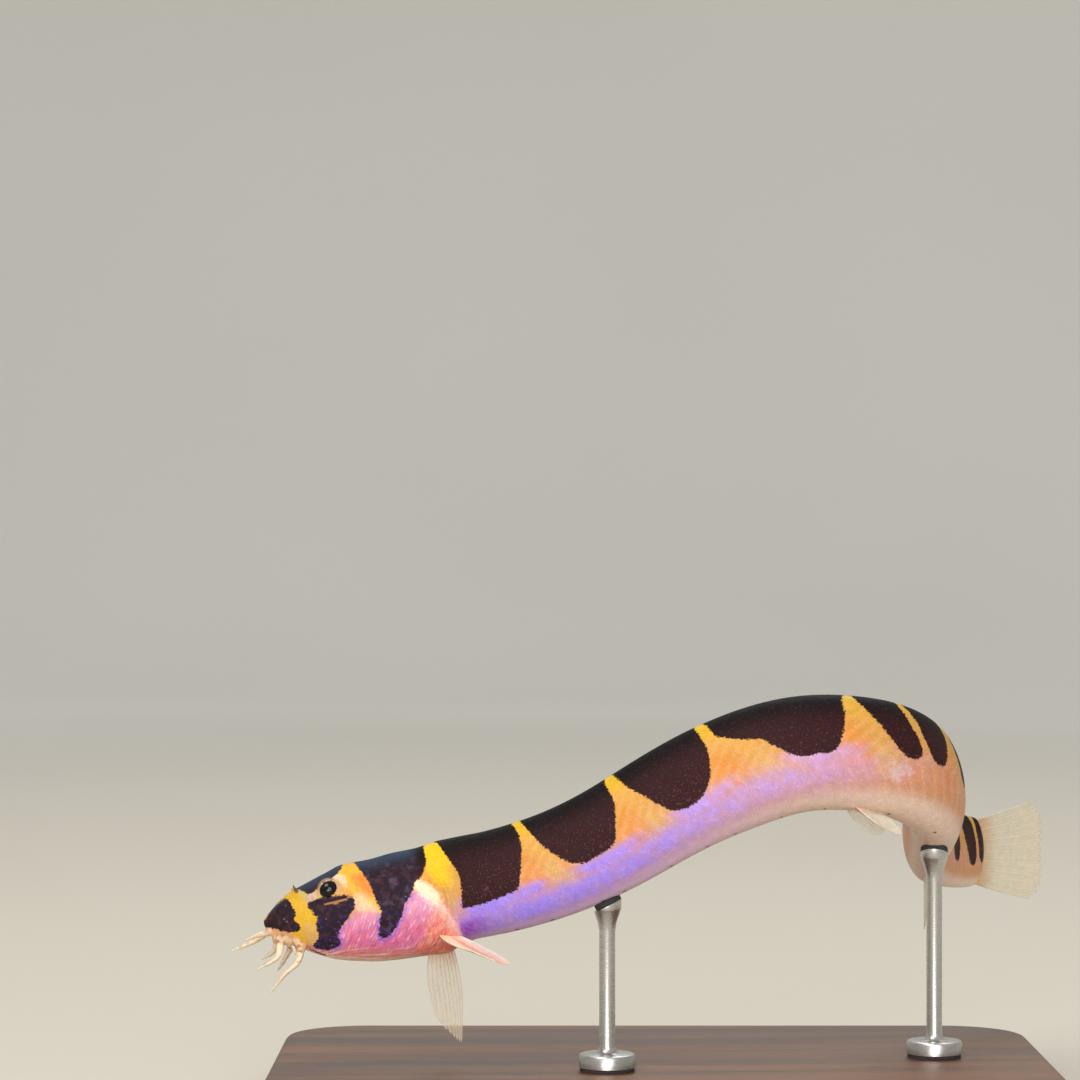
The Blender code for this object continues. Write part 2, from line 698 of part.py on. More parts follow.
def base_plate(collection):
    """The stand's rounded plate, with its underside flat on the ground."""
    bm = bmesh.new()
    bmesh.ops.create_cube(bm, size=1.0)
    bmesh.ops.scale(bm, vec=BASE_SIZE, verts=bm.verts[:])
    bmesh.ops.translate(bm, vec=(0, 0, BASE_SIZE.z / 2), verts=bm.verts[:])
    middle = BASE_SIZE.z / 2
    uprights = [edge for edge in bm.edges if (edge.verts[0].co.z > middle) != (edge.verts[1].co.z > middle)]
    bmesh.ops.bevel(bm, geom=uprights, offset=BASE_CORNER, segments=BASE_CORNER_SEGMENTS, profile=0.5,
                    affect="EDGES", material=-1)
    top = [edge for edge in bm.edges if all(vert.co.z > middle for vert in edge.verts)]
    bmesh.ops.bevel(bm, geom=top, offset=BASE_EDGE, segments=BASE_EDGE_SEGMENTS, profile=0.5,
                    affect="EDGES", material=-1)
    bmesh.ops.triangulate(bm, faces=bm.faces[:])
    face_out(bm)
    return new_object("stand_base", bm, collection)


def rod(name, along, collection):
    """A turned rod with a foot and a slightly wider cup, tall enough to reach into the belly."""
    centre = spine_at(along)[0]
    low = BASE_SIZE.z + GAP
    high = centre.z
    belly = centre.z - drop_mm(along / MM) * MM
    foot = low + ROD_FOOT_HEIGHT
    profile = (
        (0.0, high), (ROD_CUP_RADIUS, high), (ROD_CUP_RADIUS, belly - ROD_CUP_RIM),
        (ROD_RADIUS, belly - ROD_CUP_FLARE), (ROD_RADIUS, foot + ROD_NECK_HEIGHT),
        (ROD_NECK_RADIUS, foot), (ROD_FOOT_RADIUS - ROD_FOOT_EDGE, foot),
        (ROD_FOOT_RADIUS, foot - ROD_FOOT_EDGE), (ROD_FOOT_RADIUS, low), (0.0, low),
    )
    bm = bmesh.new()
    verts = [bm.verts.new((radius, 0.0, height)) for radius, height in profile]
    edges = [bm.edges.new(pair) for pair in zip(verts, verts[1:])]
    bmesh.ops.spin(bm, geom=verts + edges, axis=(0, 0, 1), cent=(0, 0, 0), angle=2 * math.pi,
                   steps=ROD_SIDES, use_merge=True, use_duplicate=False)
    bmesh.ops.remove_doubles(bm, verts=bm.verts[:], dist=MERGE_DISTANCE)
    bmesh.ops.translate(bm, vec=(centre.x, centre.y, 0), verts=bm.verts[:])
    face_out(bm)
    return new_object(name, bm, collection)


def finish(item, material):
    """Give an object its material and smooth shading, with its hard edges kept."""
    item.data.materials.clear()
    item.data.materials.append(material)
    item.data.shade_smooth()
    item.data.set_sharp_from_angle(angle=SHARP_ANGLE)


def main():
    """Build the fish, bend it into its pose and set it on its stand."""
    clear_scene()
    model = bpy.data.collections.new("kuhli_loach")
    bpy.context.scene.collection.children.link(model)
    shades = {name: make_material(name) for name in COLOURS}

    body = straight_body(model)
    for name, start, end in LENGTHS:
        length = cut_length(body, name, start, end, model)
        if name == "head":
            finish_head(length, model)
        bend_object(length)
        finish(length, shades["skin"])
    bend_object(body)

    def cut_clear(item, *others):
        """Cut an object clear of the body, and of other solids that are already grown."""
        combine(item, [grown(body, model), *others], "DIFFERENCE")

    for side, name in ((-1, "eye_left"), (1, "eye_right")):
        radii = (EYE_RADIUS, EYE_RADIUS * EYE_DEPTH_SHARE, EYE_RADIUS)
        eye = ball(name, eye_centre(side), radii, model, sides=18, rings=12)
        bend_object(eye)
        finish(eye, shades["eye"])

    for side_name, barbels in (("left", LEFT_BARBELS), ("right", RIGHT_BARBELS)):
        for kind, way_points in barbels.items():
            feeler = barbel("barbel_%s_%s" % (kind, side_name), way_points, model)
            lips = lip_ring("lips", LIP_RADIUS + GAP, model)
            bend_object(lips)
            cut_clear(feeler, lips)
            finish(feeler, shades["fin"])

    for side, side_name, pectoral_ways, pelvic_ways in (
            (-1, "left", PECTORAL_LEFT, PELVIC_LEFT), (1, "right", PECTORAL_RIGHT, PELVIC_RIGHT)):
        flip = Vector((1, side, 1))
        pectoral = paired_fin("pectoral_fin_" + side_name, PECTORAL_RAYS, PECTORAL_ROWS,
                              PECTORAL_ROOT * flip, PECTORAL_ROOT_WIDTH, pectoral_ways, PECTORAL_LENGTHS,
                              PECTORAL_TIPS, PECTORAL_BULGE, PECTORAL_BOW, model)
        pelvic = paired_fin("pelvic_fin_" + side_name, PELVIC_RAYS, PELVIC_ROWS, PELVIC_ROOT * flip,
                            PELVIC_ROOT_WIDTH, pelvic_ways, PELVIC_LENGTHS, PELVIC_TIPS,
                            PELVIC_BULGE, PELVIC_BOW, model)
        for fin in (pectoral, pelvic):
            cut_clear(fin)
            finish(fin, shades["fin"])

    dorsal = median_fin("dorsal_fin", DORSAL_RAYS, DORSAL_BASE, DORSAL_LENGTHS, DORSAL_LEANS, 1, model)
    anal = median_fin("anal_fin", ANAL_RAYS, ANAL_BASE, ANAL_LENGTHS, ANAL_LEANS, -1, model)
    for fin in (dorsal, anal, caudal_fin(model)):
        cut_clear(fin)
        finish(fin, shades["fin"])

    finish(base_plate(model), shades["wood"])
    for place, along in ROD_PLACES.items():
        post = rod("stand_rod_" + place, along, model)
        cut_clear(post)
        finish(post, shades["steel"])

    bpy.data.objects.remove(body, do_unlink=True)


main()
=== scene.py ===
"""Looks of a still, life-size display model of a kuhli loach swimming round a bend.

Sizes in the tables are millimetres, measured along the fish. The fish is shaped straight, in
coordinates (along the spine from the snout, towards its right, up), and is then bent onto its
spine, so that every marking and fold follows the body. Finished meshes are in metres.
"""

import logging
import math
from collections.abc import Callable, Iterable, Sequence
from dataclasses import dataclass, field
from enum import Enum
from functools import cached_property

import bmesh
import bpy
import numpy as np
from mathutils import Matrix, Vector


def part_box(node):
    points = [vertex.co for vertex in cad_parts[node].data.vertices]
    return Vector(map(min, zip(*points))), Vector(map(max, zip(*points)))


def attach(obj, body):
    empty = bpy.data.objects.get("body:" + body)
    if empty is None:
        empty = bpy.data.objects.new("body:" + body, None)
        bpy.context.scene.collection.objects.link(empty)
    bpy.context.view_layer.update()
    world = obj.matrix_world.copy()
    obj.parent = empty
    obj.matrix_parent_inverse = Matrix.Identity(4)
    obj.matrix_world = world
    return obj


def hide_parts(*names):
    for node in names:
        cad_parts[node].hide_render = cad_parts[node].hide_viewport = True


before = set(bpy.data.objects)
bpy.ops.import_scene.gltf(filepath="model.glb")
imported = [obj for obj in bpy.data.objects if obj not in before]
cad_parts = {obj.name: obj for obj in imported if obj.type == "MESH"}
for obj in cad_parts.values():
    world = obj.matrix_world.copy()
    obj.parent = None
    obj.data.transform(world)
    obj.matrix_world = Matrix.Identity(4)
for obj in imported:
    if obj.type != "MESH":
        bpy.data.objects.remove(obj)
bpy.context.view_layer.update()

log = logging.getLogger("loach")

MM = 0.001
BODY = "root"
# The angle of the belly's middle, counted up from the fish's right side
KEEL = -math.pi / 2

Array = np.ndarray
Point = tuple[float, float, float]
Stations = tuple[tuple[float, float], ...]
Stops = tuple[tuple[float, str], ...]
Mesh = bpy.types.Mesh
Material = bpy.types.Material
NodeTree = bpy.types.NodeTree


class Side(Enum):
    """The two sides of the fish, as the sign of its right-hand axis."""

    LEFT = -1
    RIGHT = 1

    @property
    def word(self) -> str:
        """The side in the names of pieces and nodes."""
        return self.name.lower()


class Chart(Enum):
    """How the outline of a marking is laid on the skin."""

    FLANK = "distance along the spine, and degrees down from the ridge of the back"
    PROFILE = "distance along the spine, and height over it, as seen from the side"


def smooth_step(low: float, high: float, value: Array) -> Array:
    """A smooth rise from 0 at low to 1 at high."""
    share = np.clip((value - low) / (high - low), 0.0, 1.0)
    return share * share * (3 - 2 * share)


def full_turn(count: int) -> Array:
    """Angles all the way round, the first met again by the last."""
    return np.linspace(0.0, 2 * math.pi, count)


def rows(*columns: Array) -> Array:
    """Columns of numbers put side by side."""
    return np.stack(columns, axis=-1)


def unit(vectors: Array) -> Array:
    """Vectors brought to a length of 1."""
    return vectors / np.linalg.norm(vectors, axis=-1, keepdims=True)


def linear(code: str) -> tuple[float, float, float, float]:
    """A colour code such as #f0c81e as scene-linear red, green and blue, with an alpha of 1."""
    parts = [int(code[place:place + 2], 16) / 255 for place in (1, 3, 5)]
    light = [part / 12.92 if part <= 0.04045 else ((part + 0.055) / 1.055) ** 2.4 for part in parts]
    return light[0], light[1], light[2], 1.0


def from_segment(where: Array, start: Array, end: Array) -> tuple[Array, Array]:
    """The share of a segment at which it comes nearest to each point, and the distance there."""
    edge, offset = end - start, where - start
    share = np.clip(offset @ edge / max(edge @ edge, 1e-12), 0.0, 1.0)
    return share, np.linalg.norm(offset - share[:, None] * edge, axis=1)


class Profile:
    """A smooth curve through stations that never overshoots between them."""

    def __init__(self, stations: Sequence[tuple[float, float]], ease: float = 1.0) -> None:
        """Fit the curve.

        Args:
            stations: places, rising, with the value at each.
            ease: the power of the place in which the curve is smooth.
        """
        self.ease = ease
        self.places = np.array([place for place, _ in stations], float) ** ease
        self.values = np.array([value for _, value in stations], float)
        spans = np.diff(self.places)
        rises = np.diff(self.values) / spans
        slopes = [rises[0]]
        for before, after, span, next_span in zip(rises, rises[1:], spans, spans[1:]):
            first = 2 * next_span + span
            second = next_span + 2 * span
            turns = before * after <= 0
            slopes.append(0.0 if turns else (first + second) / (first / before + second / after))
        slopes.append(rises[-1])
        self.slopes = np.array(slopes)

    def __call__(self, place: Array | float) -> Array:
        """The value at each place, held at the ends."""
        eased = np.clip(np.maximum(place, 0.0) ** self.ease, self.places[0], self.places[-1])
        index = np.clip(np.searchsorted(self.places, eased, side="right") - 1, 0, len(self.places) - 2)
        span = self.places[index + 1] - self.places[index]
        t = (eased - self.places[index]) / span
        value = self.values[index] * (1 + 2 * t) * (1 - t) ** 2 + self.values[index + 1] * t * t * (3 - 2 * t)
        bend = self.slopes[index] * t * (1 - t) ** 2 + self.slopes[index + 1] * t * t * (t - 1)
        return value + span * bend


def smooth_route(points: Sequence[Sequence[float]], steps: int, closed: bool = False) -> Array:
    """Points on a smooth curve through way points.

    Args:
        points: the way points, in any number of dimensions.
        steps: how many points to make in each span.
        closed: whether the curve comes back to its start.

    Returns:
        The points of the curve, one in each row.
    """
    ways = np.array(points, float)
    if closed:
        padded = np.vstack((ways[-1], ways, ways[:2]))
    else:
        padded = np.vstack((2 * ways[0] - ways[1], ways, 2 * ways[-1] - ways[-2]))
    t = np.linspace(0.0, 1.0, steps, endpoint=False)[:, None]
    spans = []
    for p0, p1, p2, p3 in zip(padded, padded[1:], padded[2:], padded[3:]):
        spans.append(0.5 * (2 * p1 + (p2 - p0) * t + (2 * p0 - 5 * p1 + 4 * p2 - p3) * t ** 2
                            + (3 * p1 - p0 - 3 * p2 + p3) * t ** 3))
    return np.vstack(spans if closed else [*spans, ways[-1:]])


@dataclass(frozen=True)
class Spine:
    """The bent line that the fish's sections are set on."""

    snout: Point = (-32.1, -10.5, 16.1)
    length: float = 89.6
    step: float = 0.25
    slopes: Stations = (
        (0, 8), (12, 8.5), (17, 12), (21, 16.5), (27, 26), (32, 31), (35, 29), (38, 24.5), (42, 19),
        (44.5, 12), (46.5, 4.5), (48.5, -2), (51, -8), (54, -16), (58, -23), (63, -25), (70, -20),
        (78, -12), (90, -4), (100, 0),
    )
    turns: Stations = (
        (0, 6), (12, 6), (24, 0), (40, -2), (45, 2), (49, 11), (53, 30), (57, 53), (61, 75), (65, 89),
        (69, 91), (76, 76), (84, 61), (92, 52), (100, 48),
    )

    @cached_property
    def stations(self) -> tuple[Array, Array, Array, Array]:
        """The spine's points and its axes along, right and up, one every step from the snout."""
        places = np.arange(int(1.2 * self.length / self.step) + 1) * self.step
        slope = np.radians(Profile(self.slopes)(places))
        turn = np.radians(Profile(self.turns)(places))
        level = np.cos(slope)
        along = np.stack((level * np.cos(turn), level * np.sin(turn), np.sin(slope)), axis=1)
        right = np.stack((-np.sin(turn), np.cos(turn), np.zeros_like(turn)), axis=1)
        ways = along[1:] + along[:-1]
        ways *= self.step / np.linalg.norm(ways, axis=1)[:, None]
        start = np.array([self.snout])
        return np.vstack((start, start + np.cumsum(ways, axis=0))), along, right, np.cross(along, right)

    def axes(self, along: Array) -> tuple[Array, Array, Array, Array]:
        """The spine's point and its axes along, right and up at distances from the snout."""
        points, ahead, right, up = self.stations
        place = np.clip(along / self.step, 0.0, len(points) - 1.001)
        index = place.astype(int)
        share = (place - index)[..., None]
        found = [table[index] * (1 - share) + table[index + 1] * share
                 for table in (points, ahead, right, up)]
        found[0] = found[0] + np.minimum(along, 0.0)[..., None] * ahead[0]
        return found[0], found[1], found[2], found[3]

    def bend(self, points: Array) -> Array:
        """Take points of the straight fish to their places in the pose."""
        centre, _, right, up = self.axes(points[..., 0])
        return centre + right * points[..., 1:2] + up * points[..., 2:3]

    def set_on(self, along: float, offsets: Array) -> Array:
        """Place offsets, in straight directions, from the spine at a distance, without bending them."""
        centre, ahead, right, up = self.axes(np.array(along))
        return centre + offsets[..., :1] * ahead + offsets[..., 1:2] * right + offsets[..., 2:3] * up

    def centre(self, along: float) -> Vector:
        """The spine's point at a distance from the snout."""
        return Vector(self.axes(np.array(along))[0])


@dataclass(frozen=True)
class BodyForm:
    """The straight body: its rise above the spine, drop below it and width, all along its length."""

    depths: tuple[Point, ...] = (
        (0, 0, 0), (0.25, 0.42, 0.85), (0.7, 0.85, 1.42), (1.5, 1.54, 1.95), (2.5, 2.13, 2.42),
        (3.7, 2.57, 3.06), (5.3, 3.14, 3.76), (7, 3.66, 4.18), (9, 3.73, 4.50), (11, 3.96, 4.60),
        (12.7, 4.03, 4.62), (14.1, 4.20, 4.70), (15, 4.33, 4.40), (16.6, 4.34, 4.02), (19, 4.27, 4.11),
        (26, 4.30, 4.30), (33, 4.46, 4.46), (42, 4.68, 4.68), (51, 4.60, 4.60), (60, 4.36, 4.36),
        (70, 3.95, 3.95), (80, 3.40, 3.40), (88, 3.05, 3.05), (89.2, 2.05, 2.05), (89.6, 0, 0),
    )
    width_shares: Stations = (
        (0, 0.86), (4, 0.76), (9, 0.74), (13, 0.78), (20, 0.70), (45, 0.68),
        (62, 0.60), (76, 0.46), (86, 0.30), (89.6, 0.26),
    )
    fullness: float = 0.10

    @cached_property
    def curves(self) -> tuple[Profile, Profile, Profile]:
        """The curves of rise, drop and width share; the snout is blunt, so two run in the root."""
        rise = Profile([(place, rise) for place, rise, _ in self.depths], ease=0.5)
        drop = Profile([(place, drop) for place, _, drop in self.depths], ease=0.5)
        return rise, drop, Profile(self.width_shares)

    def skin(self, along: Array, angle: Array) -> Array:
        """Points of the skin at angles up from the fish's right side."""
        rise, drop, share = (curve(along) for curve in self.curves)
        width = (rise + drop) / 2 * share * (1 - self.fullness * np.sin(angle))
        height = np.where(np.sin(angle) > 0, rise, drop)
        return np.stack((along + 0 * angle, width * np.cos(angle), height * np.sin(angle)), axis=-1)

    def outward(self, along: Array, angle: Array) -> Array:
        """Directions straight out of the skin."""
        reach = np.minimum(0.05, 0.5 * along + 1e-4)
        turn = 0.02
        lengthwise = self.skin(along + reach, angle) - self.skin(np.maximum(along - reach, 0.0), angle)
        around = self.skin(along, angle + turn) - self.skin(along, angle - turn)
        normal = np.cross(around, lengthwise)
        size = np.linalg.norm(normal, axis=-1, keepdims=True)
        ahead = np.broadcast_to(np.array((-1.0, 0.0, 0.0)), normal.shape)
        return np.where(size > 1e-9, normal / np.maximum(size, 1e-9), ahead)

    def girth(self, along: Array) -> Array:
        """The mean radius of the section, by which degrees down from the ridge become a length."""
        rise, drop, share = (curve(along) for curve in self.curves)
        return (rise + drop) / 2 * (1 + share) / 2

    def on_side(self, along: float, degrees: float, side: Side) -> tuple[Array, Array]:
        """The skin's point and outward direction at degrees up from one side."""
        angle = math.radians(degrees if side is Side.RIGHT else 180 - degrees)
        place, turn = np.array(float(along)), np.array(angle)
        return self.skin(place, turn), self.outward(place, turn)

    def edge(self, up: int) -> Profile:
        """The curve of the rise for 1, or of the drop for -1."""
        return self.curves[0 if up > 0 else 1]


SPINE = Spine()
FORM = BodyForm()


# Meshes


def set_points(mesh: Mesh, points: Array) -> None:
    """Move a mesh's vertices to points in mm."""
    mesh.vertices.foreach_set("co", (points * MM).astype(np.float32).ravel())
    mesh.update()


def read_points(mesh: Mesh) -> Array:
    """The vertices of a mesh, one in each row, in the mesh's own units."""
    flat = np.empty(3 * len(mesh.vertices), np.float32)
    mesh.vertices.foreach_get("co", flat)
    return flat.reshape(-1, 3).astype(float)


def note(mesh: Mesh, **layers: Array) -> None:
    """Keep numbers or vectors, one for each vertex, for the materials to read."""
    for name, values in layers.items():
        vector = values.ndim == 2
        attribute = mesh.attributes.new(name, "FLOAT_VECTOR" if vector else "FLOAT", "POINT")
        attribute.data.foreach_set("vector" if vector else "value", values.astype(np.float32).ravel())


def face_out(mesh: Mesh) -> Mesh:
    """Turn the faces of a closed mesh outwards, shade it smooth and hand it back."""
    bm = bmesh.new()
    bm.from_mesh(mesh)
    bmesh.ops.recalc_face_normals(bm, faces=bm.faces[:])
    if bm.calc_volume(signed=True) < 0:
        bmesh.ops.reverse_faces(bm, faces=bm.faces[:])
    bm.to_mesh(mesh)
    bm.free()
    mesh.shade_smooth()
    return mesh


def mesh_of(name: str, bm: bmesh.types.BMesh) -> Mesh:
    """Make a mesh of a bmesh and free the bmesh."""
    mesh = bpy.data.meshes.new(name)
    bm.to_mesh(mesh)
    bm.free()
    return mesh


def hard_mesh(name: str, bm: bmesh.types.BMesh, degrees: float) -> Mesh:
    """Make a closed mesh of a bmesh, smooth except where faces meet at more than an angle."""
    mesh = face_out(mesh_of(name, bm))
    mesh.set_sharp_from_angle(angle=math.radians(degrees))
    return mesh


def turned(profile: Iterable[tuple[float, float]], steps: int) -> bmesh.types.BMesh:
    """A form turned about the upright axis.

    Args:
        profile: radii and heights in mm, from one end of the axis to the other.
        steps: how many steps the turn has.

    Returns:
        The form, in metres.
    """
    bm = bmesh.new()
    verts = [bm.verts.new((radius * MM, 0.0, height * MM)) for radius, height in profile]
    edges = [bm.edges.new(pair) for pair in zip(verts, verts[1:])]
    bmesh.ops.spin(bm, geom=verts + edges, axis=(0, 0, 1), cent=(0, 0, 0), angle=2 * math.pi,
                   steps=steps, use_merge=True, use_duplicate=False)
    bmesh.ops.remove_doubles(bm, verts=bm.verts[:], dist=1e-6)
    return bm


def ringed_ball(name: str, sides: int, rings: int,
                place: Callable[[Array, Array], Array]) -> tuple[Mesh, Array]:
    """A closed ball whose rings are moved to new places in the straight fish and bent with it.

    Args:
        name: the mesh's name.
        sides: how many sides each ring has.
        rings: how many rings there are from pole to pole.
        place: takes each vertex's ring number and its turn round the axis, and returns its place.

    Returns:
        The mesh, and its vertices' places in the straight fish.
    """
    bm = bmesh.new()
    bmesh.ops.create_uvsphere(bm, u_segments=sides, v_segments=rings, radius=1.0)
    mesh = mesh_of(name, bm)
    ball = read_points(mesh)
    ring = np.rint(np.arccos(np.clip(ball[:, 2], -1.0, 1.0)) / math.pi * rings).astype(int)
    set_points(mesh, place(ring, np.arctan2(ball[:, 1], ball[:, 0])))
    straight = read_points(mesh) / MM
    note(mesh, straight=straight)
    set_points(mesh, SPINE.bend(straight))
    return face_out(mesh), straight


def add_piece(name: str, mesh: Mesh, material: Material, slot: str, *nodes: str) -> None:
    """Put a finished mesh in the scene as a piece of the model.

    Args:
        name: the piece's name.
        mesh: its mesh, in place.
        material: its finish.
        slot: the record's material slot; not used.
        nodes: the solids that it stands for.
    """
    piece = bpy.data.objects.new(name, mesh)
    bpy.context.scene.collection.objects.link(piece)
    mesh.materials.append(material)
    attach(piece, BODY)
    if nodes:
        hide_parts(*nodes)
    log.info("%s: %d faces", name, len(mesh.polygons))


# Materials


class Wire:
    """What one node hands on to the next: a number, a colour or a vector."""

    def __init__(self, paint: "Paint", socket: bpy.types.NodeSocket) -> None:
        """Hold a socket that puts something out."""
        self.paint = paint
        self.socket = socket

    def __add__(self, other: "Wire | float") -> "Wire":
        """The sum with another number."""
        return self.paint.math("ADD", self, other)

    def __sub__(self, other: "Wire | float") -> "Wire":
        """The number less another."""
        return self.paint.math("SUBTRACT", self, other)

    def __mul__(self, other: "Wire | float") -> "Wire":
        """The product with another number."""
        return self.paint.math("MULTIPLY", self, other)

    def at_least(self, other: "Wire | float") -> "Wire":
        """The greater of two numbers."""
        return self.paint.math("MAXIMUM", self, other)

    def at_most(self, other: "Wire | float") -> "Wire":
        """The lesser of two numbers."""
        return self.paint.math("MINIMUM", self, other)

    def ranged(self, low: float, high: float, start: float = 0.0, end: float = 1.0) -> "Wire":
        """The number taken smoothly from one range to another and held at its ends."""
        ends = {"Value": self, "From Min": low, "From Max": high, "To Min": start, "To Max": end}
        return self.paint.node("ShaderNodeMapRange", "Result", ends, interpolation_type="SMOOTHSTEP")

    def ramp(self, stops: Stops) -> "Wire":
        """Colours that follow one another as the number rises."""
        colour = self.paint.node("ShaderNodeValToRGB", "Color", {"Fac": self})
        ramp = colour.socket.node.color_ramp
        ramp.interpolation = "EASE"
        while len(ramp.elements) < len(stops):
            ramp.elements.new(0.5)
        for element, (place, code) in zip(ramp.elements, stops):
            element.position = place
            element.color = linear(code)
        return colour

    def painted(self, colour: "Wire | str", share: "Wire | float") -> "Wire":
        """The colour with another laid over it by a share."""
        return self.paint.mix(share, self, colour)

    def scaled(self, gain: "Wire | float") -> "Wire":
        """The vector made longer, or the colour brighter, by a gain."""
        sockets = {0: self, "Scale": gain}
        return self.paint.node("ShaderNodeVectorMath", "Vector", sockets, operation="SCALE")

    def mapped(self, scale: Point, turn: Point = (0.0, 0.0, 0.0)) -> "Wire":
        """The vector, turned back by angles and then scaled along each axis."""
        sockets = {"Vector": self, "Scale": [1 / share for share in scale], "Rotation": turn}
        return self.paint.node("ShaderNodeMapping", "Vector", sockets, vector_type="TEXTURE")

    def part(self, axis: str) -> "Wire":
        """The vector's length along X, Y or Z."""
        return self.paint.node("ShaderNodeSeparateXYZ", axis, {"Vector": self})


class Paint:
    """Lays out the nodes of a material or of a node group with short calls."""

    def __init__(self, tree: NodeTree, material: Material | None = None) -> None:
        """Start on a node tree, and on the material that it belongs to."""
        self.tree = tree
        self.material = material

    @classmethod
    def on(cls, name: str) -> "Paint":
        """Start on a new material."""
        material = bpy.data.materials.new(name)
        material.use_nodes = True
        return cls(material.node_tree, material)

    def feed(self, socket: bpy.types.NodeSocket, value: object) -> None:
        """Link a socket to a wire, or set it to a value or to a colour given by its code."""
        if isinstance(value, Wire):
            self.tree.links.new(value.socket, socket)
        else:
            socket.default_value = linear(value) if isinstance(value, str) else value

    def node(self, kind: str, output: str | int, sockets: dict[str | int, object],
             **settings: object) -> Wire:
        """Add a node.

        Args:
            kind: the node's type.
            output: the output that is wanted.
            sockets: what goes into its inputs.
            settings: its other properties.

        Returns:
            The wire from that output.
        """
        made = self.tree.nodes.new(kind)
        for name, value in settings.items():
            setattr(made, name, value)
        for name, value in sockets.items():
            self.feed(made.inputs[name], value)
        return Wire(self, made.outputs[output])

    def value(self, name: str) -> Wire:
        """A number kept on the mesh."""
        return self.node("ShaderNodeAttribute", "Fac", {}, attribute_name=name)

    def vector(self, name: str) -> Wire:
        """A vector kept on the mesh."""
        return self.node("ShaderNodeAttribute", "Vector", {}, attribute_name=name)

    def place(self) -> Wire:
        """Places in the object's own coordinates."""
        return self.node("ShaderNodeTexCoord", "Object", {})

    def noise(self, vector: Wire, scale: Wire | float, detail: float = 2.0, rough: float = 0.5) -> Wire:
        """Soft noise between 0 and 1."""
        sockets = {"Vector": vector, "Scale": scale, "Detail": detail, "Roughness": rough}
        return self.node("ShaderNodeTexNoise", "Fac", sockets)

    def cells(self, vector: Wire, scale: float) -> Wire:
        """The distance to the nearest of scattered points."""
        return self.node("ShaderNodeTexVoronoi", "Distance", {"Vector": vector, "Scale": scale})

    def math(self, operation: str, first: Wire | float, second: Wire | float) -> Wire:
        """A sum, product or other operation on two numbers."""
        return self.node("ShaderNodeMath", "Value", {0: first, 1: second}, operation=operation)

    def mix(self, share: Wire | float, first: Wire | str, second: Wire | str) -> Wire:
        """Two colours mixed by a share; a Mix node's colours are its sockets 6 and 7, out of 2."""
        return self.node("ShaderNodeMix", 2, {0: share, 6: first, 7: second}, data_type="RGBA")

    def bump(self, height: Wire, distance: float, strength: float, under: Wire | None = None) -> Wire:
        """A normal that a height gives, over another normal; the distance is in metres."""
        sockets = {"Distance": distance, "Strength": strength, "Height": height}
        return self.node("ShaderNodeBump", "Normal", sockets | ({"Normal": under} if under else {}))

    def mottled(self, group: NodeTree, colour: Wire, vector: Wire, scale: float,
                amount: float) -> tuple[Wire, Wire]:
        """Make a colour uneven.

        Args:
            group: the mottle's node group.
            colour: the colour.
            vector: where the spots are read.
            scale: how small they are.
            amount: how strong they are.

        Returns:
            The uneven colour, and the height of its spots.
        """
        sockets = {"Colour": colour, "Vector": vector, "Scale": scale, "Amount": amount}
        result = self.node("ShaderNodeGroup", "Colour", sockets, node_tree=group)
        return result, Wire(self, result.socket.node.outputs["Height"])

    def shade(self, sockets: dict[str, object]) -> Material:
        """Set the Principled shader's sockets and hand back the material."""
        shader = self.tree.nodes["Principled BSDF"]
        for name, value in sockets.items():
            self.feed(shader.inputs[name], value)
        return self.material


@dataclass(frozen=True)
class MottleGroup:
    """The fine unevenness that skin, eyes, fins and feelers share, as a node group."""

    name: str = "fine_mottle"
    detail: float = 3.0
    fineness: float = 4.3
    coarse_share: float = 0.6

    def build(self) -> NodeTree:
        """Make the group: a colour made lighter and darker in small soft spots, and their height."""
        tree = bpy.data.node_groups.new(self.name, "ShaderNodeTree")
        for way, name, kind in (("INPUT", "Colour", "Color"), ("INPUT", "Vector", "Vector"),
                                ("INPUT", "Scale", "Float"), ("INPUT", "Amount", "Float"),
                                ("OUTPUT", "Colour", "Color"), ("OUTPUT", "Height", "Float")):
            tree.interface.new_socket(name, in_out=way, socket_type="NodeSocket" + kind)
        paint = Paint(tree)
        colour, vector, scale, amount = (Wire(paint, socket) for socket in
                                         tree.nodes.new("NodeGroupInput").outputs[:4])
        coarse = paint.noise(vector, scale, self.detail)
        fine = paint.noise(vector, scale * self.fineness, self.detail)
        height = coarse * self.coarse_share + fine * (1 - self.coarse_share)
        gain = (height - 0.5) * amount * 2.0 + 1.0
        result = tree.nodes.new("NodeGroupOutput").inputs
        paint.feed(result["Colour"], colour.scaled(gain))
        paint.feed(result["Height"], height)
        return tree


# Markings


